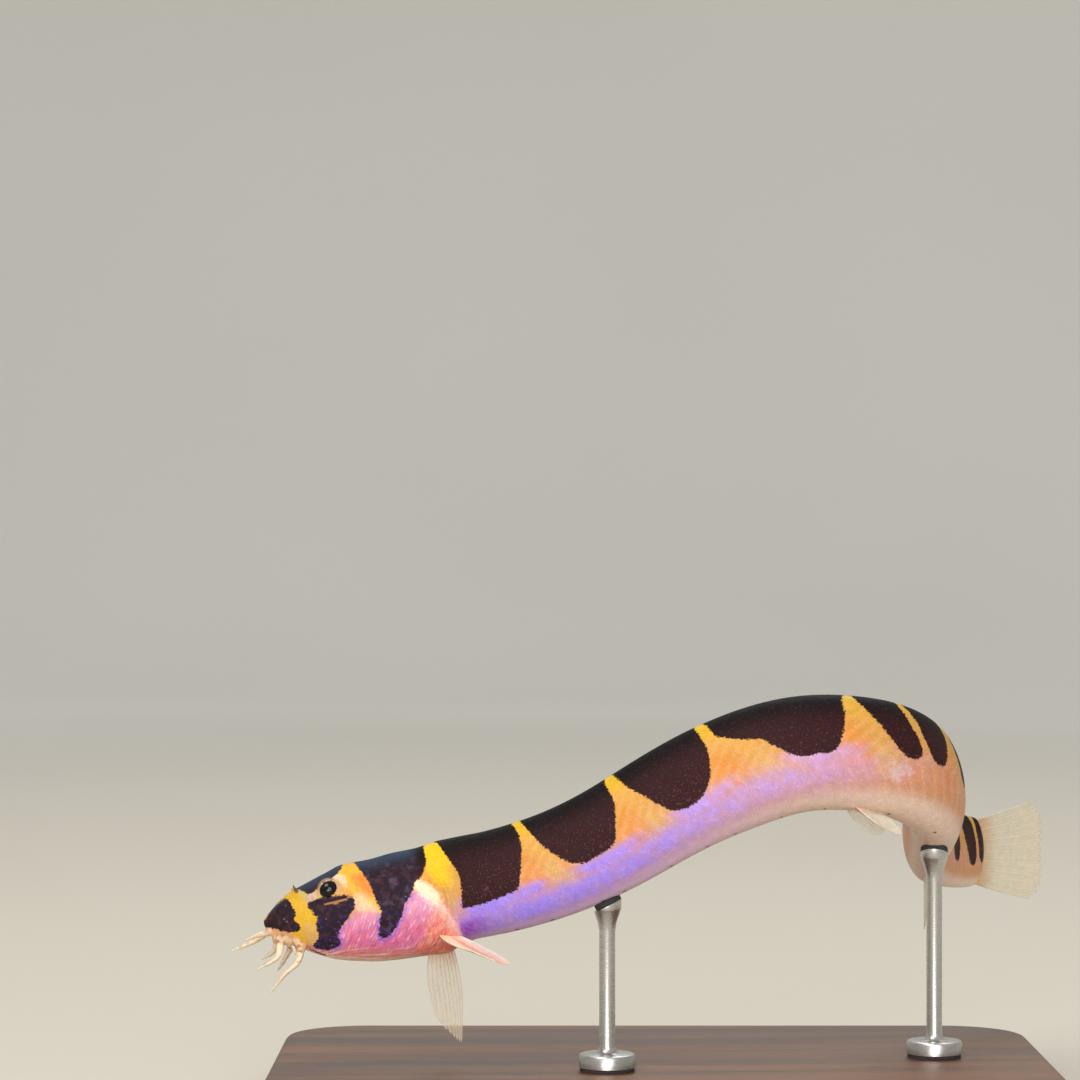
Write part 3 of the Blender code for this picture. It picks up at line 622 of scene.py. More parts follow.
@dataclass(frozen=True)
class Patch:
    """A soft patch of colour on both sides of the fish.

    The outline's points are distances along the spine with degrees down from the ridge or, on the
    profile chart, with heights over the spine in mm. A patch across the ridge starts below 0 degrees.
    """

    name: str
    colour: str
    outline: Stations
    soft: float = 0.3
    chart: Chart = Chart.FLANK
    strength: float = 1.0

    def depth_inside(self, along: Array, down: Array, height: Array, reach: float = 4.0) -> Array:
        """How deep each vertex lies inside the patch.

        Args:
            along: each vertex's distance along the spine.
            down: its angle down from the ridge of the back.
            height: its height over the spine.
            reach: the distance outside the patch at which the measure stops.

        Returns:
            Distances in mm, below 0 outside.
        """
        ways = smooth_route(self.outline, 4, closed=True)
        where = rows(along, height)
        if self.chart is Chart.FLANK:
            ways[:, 1] = np.radians(ways[:, 1]) * FORM.girth(ways[:, 0])
            where[:, 1] = down * FORM.girth(along)
        near = (along > ways[:, 0].min() - reach) & (along < ways[:, 0].max() + reach)
        depth = np.full(len(along), -reach)
        depth[near] = np.maximum(inside_distance(ways, where[near]), -reach)
        return depth


def inside_distance(outline: Array, where: Array) -> Array:
    """Distances of points to a closed outline, above 0 inside it."""
    best = np.full(len(where), np.inf)
    inside = np.zeros(len(where), bool)
    for start, end in zip(outline, np.roll(outline, -1, axis=0)):
        best = np.minimum(best, from_segment(where, start, end)[1])
        edge, offset = end - start, where - start
        if edge[1] != 0:
            straddles = (start[1] <= where[:, 1]) != (end[1] <= where[:, 1])
            inside ^= straddles & (offset[:, 0] < edge[0] * offset[:, 1] / edge[1])
    return np.where(inside, best, -best)


DARK = "#2a1618"
FEELER_ROOT = "#e6c6a8"


def bar(name: str, outline: Stations, chart: Chart = Chart.FLANK) -> Patch:
    """A dark marking."""
    return Patch(name, DARK, outline, chart=chart)


@dataclass(frozen=True)
class Coat:
    """The fish's markings: dark bars over soft patches of colour."""

    bars: tuple[Patch, ...] = (
        bar("snout_cap", ((-0.8, 0.05), (0.10, 0.24), (0.44, 0.66), (0.78, 0.96), (1.30, 1.42),
            (1.80, 1.70), (2.10, 1.62), (2.40, 1.20), (2.58, 0.60), (2.45, 0.05), (2.78, -0.45),
            (2.62, -0.90), (1.55, -0.86), (0.15, -0.38), (-0.8, -0.38)), Chart.PROFILE),
        bar("crown", ((2.9, -40), (2.7, 2), (3.2, 26), (3.9, 44), (4.5, 42), (5.1, 34), (5.9, 33),
            (6.5, 24), (6.8, 10), (6.8, -40))),
        bar("cheek", ((3.6, 64), (3.9, 81), (4.2, 91), (4, 102), (4.1, 120), (3.6, 138), (3.8, 147),
            (5.1, 139), (5.8, 126), (5.6, 117), (6.2, 102), (6.9, 92), (7.3, 82), (7.1, 70), (6.1, 64),
            (5.2, 60), (4.3, 60))),
        bar("jaw_dash", ((3.3, 151), (3.9, 153), (4.5, 159), (4.4, 165), (3.8, 162), (3.4, 157))),
        bar("nape", ((8, -40), (7.8, 5), (8.1, 32), (8.7, 56), (8.9, 74), (9.2, 95), (8.8, 117),
            (9.2, 122), (9.9, 117), (10.7, 102), (11.3, 88), (12.1, 74), (12.3, 66), (12.9, 60), (13.5, 41),
            (13.5, 15), (13.4, -40))),
        bar("first", ((14.5, -40), (14.6, 5), (15.2, 40), (15.8, 62), (16, 80), (15.7, 104), (17.1, 106),
            (18.9, 103), (20.5, 99), (21, 85), (21.6, 62), (21.9, 38), (21.5, 8), (21.3, -40))),
        bar("second", ((22.2, -40), (22.3, 8), (22.8, 38), (23.6, 64), (24.6, 83), (25.9, 97), (27.3, 97),
            (29, 93), (30, 74), (30.7, 50), (30.7, 20), (30.4, -40))),
        bar("third", ((31.4, -40), (31.6, 8), (32.1, 44), (33.1, 70), (33.8, 86), (34.7, 97), (36.5, 98),
            (37.8, 89), (38.7, 70), (38.9, 45), (38.6, 10), (38.4, -40))),
        bar("fourth", ((39.4, -40), (39.5, 20), (39.9, 42), (40.9, 54), (42.8, 65), (43.9, 78), (45.2, 89),
            (46.6, 89), (47.8, 86), (48.3, 74), (48.6, 50), (48.6, 25), (48.5, -40))),
        bar("fifth", ((49.2, -40), (49.4, 12), (50.1, 39), (51.2, 62), (52.2, 79), (53.2, 87), (54.1, 83),
            (54, 70), (53.1, 46), (52.6, 14), (52.5, -40))),
        bar("sixth", ((53.1, -40), (53.2, 19), (53.8, 46), (54.6, 70), (55.4, 84), (56.3, 86), (56.8, 76),
            (56.9, 50), (56.5, 20), (56.4, -40))),
    )
    # Tail bars: the ridge's start of each, its width there and how far down it reaches in degrees
    tail_bars: tuple[Point, ...] = (
        (57.6, 3.3, 88), (62, 3.4, 96), (66.4, 3.3, 92), (70.8, 3.2, 101), (75.1, 3.1, 97),
        (79.3, 2.9, 108), (83.4, 2.7, 112),
    )
    tail_spot: Stations = (
        (87.5, -60), (87.3, 40), (87.6, 80), (88, 104), (88.9, 108), (90.5, 90), (90.5, -60),
    )
    patches: tuple[Patch, ...] = (
        Patch("snout_gold", "#dbae30", ((1.6, 45), (2.6, -40), (3.4, -40), (3.6, 25), (4.4, 60), (4.7, 90),
            (4.4, 110), (4.4, 128), (3.2, 140), (2, 118), (1.8, 80)), 0.30),
        Patch("snout_pearl", "#cfa592", ((2.9, 104), (3.5, 96), (4.3, 104), (4.4, 124), (3.7, 140),
            (3, 132)), 0.6, strength=0.6),
        Patch("crown_grey", "#c2b474", ((3, 20), (3.5, 36), (4.3, 46), (4.9, 54), (4.6, 64), (3.6, 58),
            (3.1, 44)), 0.35, strength=0.85),
        Patch("brow_gold", "#f0b83c", ((6.4, -40), (6.3, 22), (6.4, 45), (7, 60), (7.6, 75), (8.2, 100),
            (9.6, 96), (9.6, 50), (8.8, 20), (8.6, -40)), 0.30),
        Patch("brow_orange", "#f2703c", ((7.3, 42), (8.1, 38), (9.4, 46), (9.6, 68), (8.8, 76), (7.7, 66)),
            0.75, strength=0.75),
        Patch("brow_pearl", "#f8d6c4", ((7, 74), (7.8, 66), (8.6, 76), (9, 92), (8.2, 98), (7.4, 92)),
            0.6, strength=0.7),
        Patch("brow_white", "#efd6c6", ((4.8, 42), (5.2, 34), (5.9, 30), (6.6, 31), (7, 42), (6.9, 56),
            (6.7, 58), (6.5, 50), (6.1, 42), (5.5, 42)), 0.25, strength=0.75),
        Patch("cheek_pink", "#e07699", ((5.2, 118), (6.2, 104), (7.2, 94), (8.4, 92), (9.4, 98), (10.6, 96),
            (12, 78), (13.2, 88), (14, 106), (14.3, 128), (13.4, 152), (10, 146), (7, 142),
            (5, 146)), 0.55),
        Patch("jaw_rose", "#e88f8c", ((2.8, 150), (4.4, 136), (6.4, 133), (9.4, 139), (12.2, 140),
            (13.4, 150), (13, 172), (8, 178), (4, 178)), 0.7),
        Patch("chin_cream", "#fbdcc2", ((2.4, 166), (4.2, 155), (7, 155), (10, 158), (12.6, 166),
            (12.6, 200), (2.4, 200)), 0.7),
        Patch("gill_blush", "#ee7f5c", ((12.4, 122), (13.2, 98), (14.2, 92), (14.9, 108), (15.2, 134),
            (14.9, 160), (12.8, 172), (11.6, 158), (11.8, 138)), 0.8, strength=0.95),
        Patch("gill_edge", "#f6cdb4", ((12.2, 64), (12.9, 66), (13.7, 77), (14.2, 90), (14.6, 108),
            (14.9, 134), (14.6, 138), (14.1, 116), (13.5, 100), (12.9, 88), (12.3, 78)), 0.45,
            strength=0.75),
        Patch("gill_top", "#fff0cc", ((12.1, 64), (12.8, 66), (13.6, 76), (14, 88), (13.5, 96),
            (12.8, 88), (12.3, 77)), 0.6, strength=0.95),
        Patch("gill_stroke", "#f8d6d4", ((13.9, 96), (14.3, 95), (14.9, 112), (15.3, 130), (15.4, 142),
            (15, 143), (14.7, 128), (14.4, 112)), 0.35, strength=0.8),
        Patch("nostril_rim", "#d6b8ac", ((3.55, 58), (3.75, 47), (4.15, 44), (4.45, 50), (4.45, 62),
            (4.1, 67), (3.75, 65)), 0.10, strength=0.85),
        Patch("flank_glint", "#e6e2f6", ((51.6, 101), (52.2, 93), (53.2, 93), (53.7, 104), (53, 114),
            (52, 112)), 0.9, strength=0.55),
        Patch("nape_gold", "#fad018", ((13.2, -40), (13.2, 50), (13.8, 72), (15.4, 70), (15.4, -40)), 0.8,
            strength=0.8),
    )
    # The violet sheen low on the flank: its middle and half height in degrees down, along the body
    sheen_middle: Stations = (
        (14, 128), (18, 126), (27, 122), (36, 117), (46, 106), (54, 100), (70, 104),
    )
    sheen_half: Stations = ((14, 22), (20, 17), (36, 14), (50, 15), (62, 13), (86, 9))
    sheen_strength: Stations = (
        (13.6, 0), (15.2, 1), (33, 0.95), (42, 0.80), (48, 0.62), (51.5, 0.25), (56, 0.12),
    )
    # How much further the sheen reaches down than up
    sheen_droop: float = 1.6
    # How far the bars of the right side are moved along it, and how often that changes
    right_shift: float = 0.45
    right_wave: float = 0.8
    # Where the flank turns to the pale belly, in degrees down
    belly_line: Stations = (
        (10, 165), (16, 150), (24, 146), (40, 138), (54, 126), (70, 132), (86, 138),
    )
    # Small dark dots along the keel, as distances along the spine
    keel_dots: tuple[float, ...] = (19.6, 22.3, 26.2, 27.9, 31.9, 35.4, 38.2, 42.6, 47.3, 53.8, 59.9)

    def tail_bar(self, index: int, start: float, width: float, reach: float) -> Patch:
        """One bar of the tail, a saddle that narrows downwards and leans back.

        Args:
            index: its number, from the front.
            start: where it starts on the ridge.
            width: its width there.
            reach: how far down it reaches, in degrees.

        Returns:
            The bar.
        """
        lean = 0.9 + 0.25 * math.sin(2.4 * index)
        middle = start + 0.6 * width + lean
        half = 0.34 * width
        return bar("tail_%d" % index, (
            (start, -40), (start + 0.1, 12), (start + 0.5 * lean, 0.5 * reach),
            (middle - half, 0.86 * reach), (middle, reach), (middle + half, 0.93 * reach),
            (start + width + 0.7 * lean, 0.55 * reach), (start + width + 0.2, 12), (start + width, -40)))

    def all_bars(self) -> tuple[Patch, ...]:
        """Every dark marking from the snout to the tail fin."""
        tail = (self.tail_bar(index, *sizes) for index, sizes in enumerate(self.tail_bars))
        return (*self.bars, *tail, bar("tail_spot", self.tail_spot))

    def mark(self, mesh: Mesh, along: Array, angle: Array, height: Array) -> None:
        """Keep every marking on the skin's mesh.

        Args:
            mesh: the skin's mesh.
            along: each vertex's distance along the spine.
            angle: its angle up from the fish's right side.
            height: its height over the spine.
        """
        down = np.abs(np.angle(np.exp(1j * (angle - math.pi / 2))))
        on_right = smooth_step(-0.2, 0.6, np.cos(angle)) * smooth_step(0.3, 1.2, down)
        behind_head = on_right * smooth_step(14.0, 20.0, along)
        shifted = along + behind_head * self.right_shift * np.sin(self.right_wave * along)
        before, dark, after = (np.max([patch.depth_inside(shifted + shift, down, height)
                                       for patch in self.all_bars()], axis=0) for shift in (0.9, 0.0, -1.0))
        for patch in self.patches:
            inside = smooth_step(-patch.soft, patch.soft, patch.depth_inside(along, down, height))
            note(mesh, **{patch.name: patch.strength * inside})
        degrees, girth = np.degrees(down), FORM.girth(along)
        away = (degrees - Profile(self.sheen_middle)(along)) / Profile(self.sheen_half)(along)
        away = np.where(away > 0, away / self.sheen_droop, away)
        under = smooth_step(-1.9, -0.3, after) * smooth_step(-2.05, -1.15, away) * (away < 0)
        sheen = np.maximum(np.exp(-away ** 2), under)
        dots = np.full(len(along), 9.0)
        for place in self.keel_dots:
            dots = np.minimum(dots, np.hypot(along - place, (math.pi - down) * girth - 1.0))
        note(mesh, dark=dark, down=degrees / 180, dots=dots, flat=rows(along, down * girth, 0 * along),
             ahead=smooth_step(-1.9, -0.3, before) * (1 - smooth_step(-2.4, -0.6, after)),
             behind=smooth_step(-2.8, -0.5, after) * (1 - smooth_step(-1.6, 0.0, before)),
             sheen=Profile(self.sheen_strength)(along) * sheen * (along > 13.6),
             belly=smooth_step(-12.0, 12.0, degrees - Profile(self.belly_line)(along)))


# Relief of the skin


@dataclass(frozen=True)
class Strand:
    """A chain of balls along points that is blended into the skin, or cut out of it."""

    points: Array
    radii: Array
    blend: float

    @classmethod
    def along(cls, points: Sequence[Array] | Array, radii: Sequence[float] | Array | float,
              blend: float) -> "Strand":
        """A strand with one radius for all its points, or one for each."""
        line = np.array(points)
        return cls(line, np.broadcast_to(np.array(radii, float), len(line)), blend)

    def distance(self, where: Array) -> Array:
        """The distance from the strand's surface, below 0 inside it."""
        best = np.full(len(where), np.inf)
        for start, end, first, last in zip(self.points, self.points[1:], self.radii, self.radii[1:]):
            share, gap = from_segment(where, start, end)
            best = np.minimum(best, gap - (first + (last - first) * share))
        return best

    def near(self, where: Array, reach: float) -> Array:
        """The numbers of the points that lie within reach of the strand's box."""
        margin = reach + self.radii.max()
        low, high = self.points.min(axis=0) - margin, self.points.max(axis=0) + margin
        return np.nonzero(((where > low) & (where < high)).all(axis=1))[0]


@dataclass(frozen=True)
class EyeSocket:
    """The hollow in which an eyeball lies."""

    centre: Array
    radii: Array
    blend: float = 0.05

    def distance(self, where: Array) -> Array:
        """The distance from the eyeball's surface, near it."""
        scaled = (where - self.centre) / self.radii
        size = np.linalg.norm(scaled, axis=1)
        steep = np.linalg.norm(scaled / self.radii, axis=1)
        return size * (size - 1) / np.maximum(steep, 1e-9)

    def near(self, where: Array, reach: float) -> Array:
        """The numbers of the points that lie within reach of the eye."""
        return np.nonzero(np.linalg.norm(where - self.centre, axis=1) < reach + self.radii.max())[0]


def smooth_least(first: Array, second: Array, blend: float) -> Array:
    """The lesser of two distances, rounded where they meet."""
    overlap = np.maximum(blend - np.abs(first - second), 0.0) / blend
    return np.minimum(first, second) - overlap ** 2 * blend / 4


@dataclass
class Relief:
    """What stands out of the plain skin and what is sunk in it."""

    ridges: list[Strand] = field(default_factory=list)
    hollows: list[Strand | EyeSocket] = field(default_factory=list)
    highest: float = 0.9
    lowest: float = -1.0
    step: float = 0.04

    def heights(self, points: Array, outward: Array) -> Array:
        """How far each point of the skin moves outward, in mm, found by walking in from outside.

        Args:
            points: points of the plain skin.
            outward: the direction straight out of the skin at each.

        Returns:
            One height for each point, 0 where nothing is near.
        """
        reach = self.highest + 0.3
        ridges = [(strand, strand.near(points, reach)) for strand in self.ridges]
        hollows = [(cutter, cutter.near(points, reach)) for cutter in self.hollows]
        touched = np.unique(np.concatenate([index for _, index in ridges + hollows]))
        order = np.full(len(points), -1)
        order[touched] = np.arange(len(touched))
        base, way = points[touched], outward[touched]
        found = np.full(len(touched), self.lowest)
        last = np.full(len(touched), np.inf)
        open_still = np.ones(len(touched), bool)
        for height in np.arange(self.highest, self.lowest - self.step, -self.step):
            surface = np.full(len(touched), height)
            where = base + way * height
            for sign, cutters in ((1, ridges), (-1, hollows)):
                for cutter, index in cutters:
                    near = order[index]
                    surface[near] = sign * smooth_least(sign * surface[near], cutter.distance(where[near]),
                                                        cutter.blend)
            hit = open_still & (surface <= 0)
            outside = np.where(np.isinf(last), surface + self.step, last)
            share = outside / np.maximum(outside - surface, 1e-9)
            found[hit] = (height + self.step * (1 - share))[hit]
            open_still &= ~hit
            last = surface
        result = np.zeros(len(points))
        result[touched] = found
        return result


# Head


@dataclass(frozen=True)
class Eyes:
    """The eyes, glossy black discs in pale rings, covered by clear skin."""

    along: float = 5.5
    above: float = 1.88
    radius: float = 0.95
    depth_share: float = 0.8
    sunk: float = 0.55
    rim_radius: float = 0.10
    rim_reach: float = 0.84
    rim_blend: float = 0.30
    socket_share: float = 0.985
    sides: int = 64
    rings: int = 40

    def centre(self, side: Side) -> Array:
        """The middle of an eye in the straight fish."""
        angle = math.asin(self.above / float(FORM.edge(1)(self.along)))
        skin = FORM.skin(np.array(self.along), np.array(angle))
        return np.array((self.along, side.value * (skin[1] - self.sunk), self.above))

    @property
    def radii(self) -> Array:
        """The eyeball's half lengths."""
        return np.array((self.radius, self.radius * self.depth_share, self.radius))

    def relief(self, relief: Relief) -> None:
        """Sink the sockets and raise a thin rim of skin round each eye."""
        turns = full_turn(33)
        for side in Side:
            centre = self.centre(side)
            out = side.value * self.depth_share * math.sqrt(self.radius ** 2 - self.rim_reach ** 2)
            ring = rows(self.rim_reach * np.cos(turns), out + 0 * turns, self.rim_reach * np.sin(turns))
            relief.ridges.append(Strand.along(centre + ring, self.rim_radius, self.rim_blend))
            relief.hollows.append(EyeSocket(centre, self.radii * self.socket_share))

    def build(self, finish: Material) -> None:
        """Make both eyeballs, which keep how far each vertex is from the eye's axis."""
        for side in Side:
            centre = self.centre(side)

            def place(ring: Array, turn: Array) -> Array:
                tilt = math.pi * ring / self.rings
                return centre + self.radii * rows(np.sin(tilt) * np.cos(turn), np.cos(tilt),
                                                  np.sin(tilt) * np.sin(turn))

            name = "loach_eye_" + side.word
            mesh, straight = ringed_ball(name, self.sides, self.rings, place)
            off = straight - centre
            note(mesh, off_axis=np.hypot(off[:, 0], off[:, 2]))
            add_piece(name, mesh, finish, "eye", "eye_" + side.word)


@dataclass(frozen=True)
class Mouth:
    """The small mouth under the snout, in thick lips."""

    along: float = 1.35
    reach: float = 0.55
    spread: float = 40.0
    lip_radius: float = 0.32
    lip_blend: float = 0.22
    lip_steps: int = 41
    # How deep the notch in the upper lip is, as a share of the lip, and how wide, in radians
    notch_depth: float = 0.22
    notch_width: float = 0.25
    slit_radius: float = 0.15
    slit_taper: float = 0.45
    slit_rise: float = 0.15
    slit_blend: float = 0.06
    slit_spread: float = 34.0
    slit_along: float = 1.3
    slit_bow: float = 0.35

    def lip(self) -> Array:
        """The ring along the middle of the lips."""
        turns = full_turn(self.lip_steps)
        angle = KEEL + math.radians(self.spread) * np.cos(turns)
        return FORM.skin(self.along + self.reach * np.sin(turns), angle)

    def relief(self, relief: Relief) -> None:
        """Raise the lips and cut the mouth's opening."""
        off = (full_turn(self.lip_steps) - math.pi / 2) / self.notch_width
        lip_radii = self.lip_radius * (1 - self.notch_depth * np.exp(-off ** 2))
        relief.ridges.append(Strand.along(self.lip(), lip_radii, self.lip_blend))
        share = np.linspace(-1.0, 1.0, 13)
        angle = KEEL + math.radians(self.slit_spread) * share
        slit = FORM.skin(self.slit_along + self.slit_bow * share ** 2, angle)
        slit += self.slit_rise * FORM.outward(slit[:, 0], angle)
        slit_radii = self.slit_radius * (1 - self.slit_taper * share ** 2)
        relief.hollows.append(Strand.along(slit, slit_radii, self.slit_blend))


@dataclass(frozen=True)
class Nostrils:
    """On each side a short tube with a pointed flap in front, and a pit with a low rim behind it."""

    tube: tuple[float, float] = (2.75, 66.0)
    pit: tuple[float, float] = (3.9, 34.0)
    tube_radius: float = 0.17
    tube_taper: float = 0.85
    tube_root: float = 0.1
    tube_height: float = 0.22
    tube_blend: float = 0.12
    flap_height: float = 0.56
    flap_back: float = 0.16
    flap_lean: float = 1.3
    flap_radii: tuple[float, float] = (0.13, 0.05)
    flap_blend: float = 0.10
    bore: float = 0.09
    bore_depth: float = 0.15
    bore_blend: float = 0.04
    rim: float = 0.26
    rim_stretch: float = 1.1
    rim_radius: float = 0.07
    rim_blend: float = 0.08
    pit_half: float = 0.14
    pit_radius: float = 0.13
    pit_blend: float = 0.05

    def flaps(self) -> list[Strand]:
        """The pointed flap behind each tube."""
        back = np.array((self.flap_back, 0.0, 0.0))
        roots = (FORM.on_side(*self.tube, side) for side in Side)
        return [Strand.along((foot + back, foot + self.flap_lean * back + self.flap_height * out),
                             self.flap_radii, self.flap_blend) for foot, out in roots]

    def relief(self, relief: Relief) -> None:
        """Raise the tubes and flaps and sink the bores and pits."""
        relief.ridges.extend(self.flaps())
        turns = full_turn(17)[:, None]
        ahead = np.array((1.0, 0.0, 0.0))
        for side in Side:
            foot, out = FORM.on_side(*self.tube, side)
            tube = (foot - self.tube_root * out, foot + self.tube_height * out)
            tube_radii = (self.tube_radius, self.tube_radius * self.tube_taper)
            relief.ridges.append(Strand.along(tube, tube_radii, self.tube_blend))
            bore = (foot - self.bore_depth * out, foot + 2 * out)
            relief.hollows.append(Strand.along(bore, self.bore, self.bore_blend))
            place, way = FORM.on_side(*self.pit, side)
            ring = np.cos(turns) * self.rim_stretch * ahead + np.sin(turns) * unit(np.cross(way, ahead))
            relief.ridges.append(Strand.along(place + self.rim * ring, self.rim_radius, self.rim_blend))
            half = self.pit_half * ahead
            relief.hollows.append(Strand.along((place - half, place + half), self.pit_radius, self.pit_blend))


@dataclass(frozen=True)
class Cheeks:
    """The gill covers, the slits of the spines under the eyes and the folds of the throat."""

    gill_opening: Stations = ((13.9, 32), (14.5, 12), (14.6, -8), (14.2, -28), (13.2, -48), (12.1, -62))
    spine_slit: Stations = ((4.9, 20), (5.8, 18.5), (6.6, 20), (7.3, 23))
    # Each throat fold as a start and an end along the spine and two heights in degrees up from the side
    throat_folds: tuple[tuple[float, float, float, float], ...] = (
        (4.6, 12.2, -52, -50), (4.8, 12.0, -60, -58), (4.4, 11.8, -68, -66), (4.2, 11.4, -77, -75),
    )
    gill_radius: float = 0.13
    gill_blend: float = 0.08
    slit_radius: float = 0.09
    slit_blend: float = 0.04
    sheath_drop: float = 0.10
    sheath_radius: float = 0.06
    sheath_blend: float = 0.06
    cover_height: float = 0.16
    # How far the gill cover's swell reaches ahead of the opening and behind it
    cover_reach: tuple[float, float] = (1.9, 0.18)
    fold_depth: float = 0.05
    fold_half: float = 0.11
    fold_bow: float = 5.0

    def route(self, stations: Stations, side: Side) -> Array:
        """A line on the skin through stations given along the spine and in degrees up from the side."""
        return smooth_route([FORM.on_side(*station, side)[0] for station in stations], 6)

    def swell(self, line: Array, end: float) -> Array:
        """A radius that rises and falls along a line, from a little above 0 at its ends."""
        return np.sin(np.linspace(end, math.pi - end, len(line)))

    def relief(self, relief: Relief) -> None:
        """Cut the gill openings and the spine slits, and raise the sheaths below these."""
        for side in Side:
            gill, slit = self.route(self.gill_opening, side), self.route(self.spine_slit, side)
            gill_radii = self.gill_radius * self.swell(gill, 0.12) ** 0.6
            relief.hollows.append(Strand.along(gill, gill_radii, self.gill_blend))
            slit_radii = self.slit_radius * self.swell(slit, 0.2)
            relief.hollows.append(Strand.along(slit, slit_radii, self.slit_blend))
        relief.ridges.extend(self.sheaths())

    def sheaths(self) -> list[Strand]:
        """The thin raised sheath below each spine's slit."""
        lines = [self.route(self.spine_slit, side) - (0.0, 0.0, self.sheath_drop) for side in Side]
        return [Strand.along(line, self.sheath_radius * self.swell(line, 0.2), self.sheath_blend)
                for line in lines]

    def fold_heights(self, along: Array, angle: Array) -> Array:
        """The gill covers' low swell and the throat's long folds.

        Args:
            along: distances along the spine.
            angle: angles up from the fish's right side.

        Returns:
            Heights over the plain skin, in mm.
        """
        degrees = np.degrees(np.arcsin(np.sin(angle)))
        rising = Profile(sorted((up + 90, place) for place, up in self.gill_opening))
        ahead = rising(degrees + 90) - along
        spans = smooth_step(-72, -50, degrees) * (1 - smooth_step(22, 42, degrees))
        cover = np.exp(-(ahead / np.where(ahead > 0, *self.cover_reach)) ** 2)
        height = self.cover_height * spans * cover
        for start, end, first, last in self.throat_folds:
            share = np.clip((along - start) / (end - start), 0.0, 1.0)
            line = first + (last - first) * share - self.fold_bow * np.sin(math.pi * share)
            off = (degrees - line) / 180 * math.pi * FORM.girth(along)
            height = height - self.fold_depth * np.exp(-(off / self.fold_half) ** 2) * np.sin(math.pi * share)
        return height


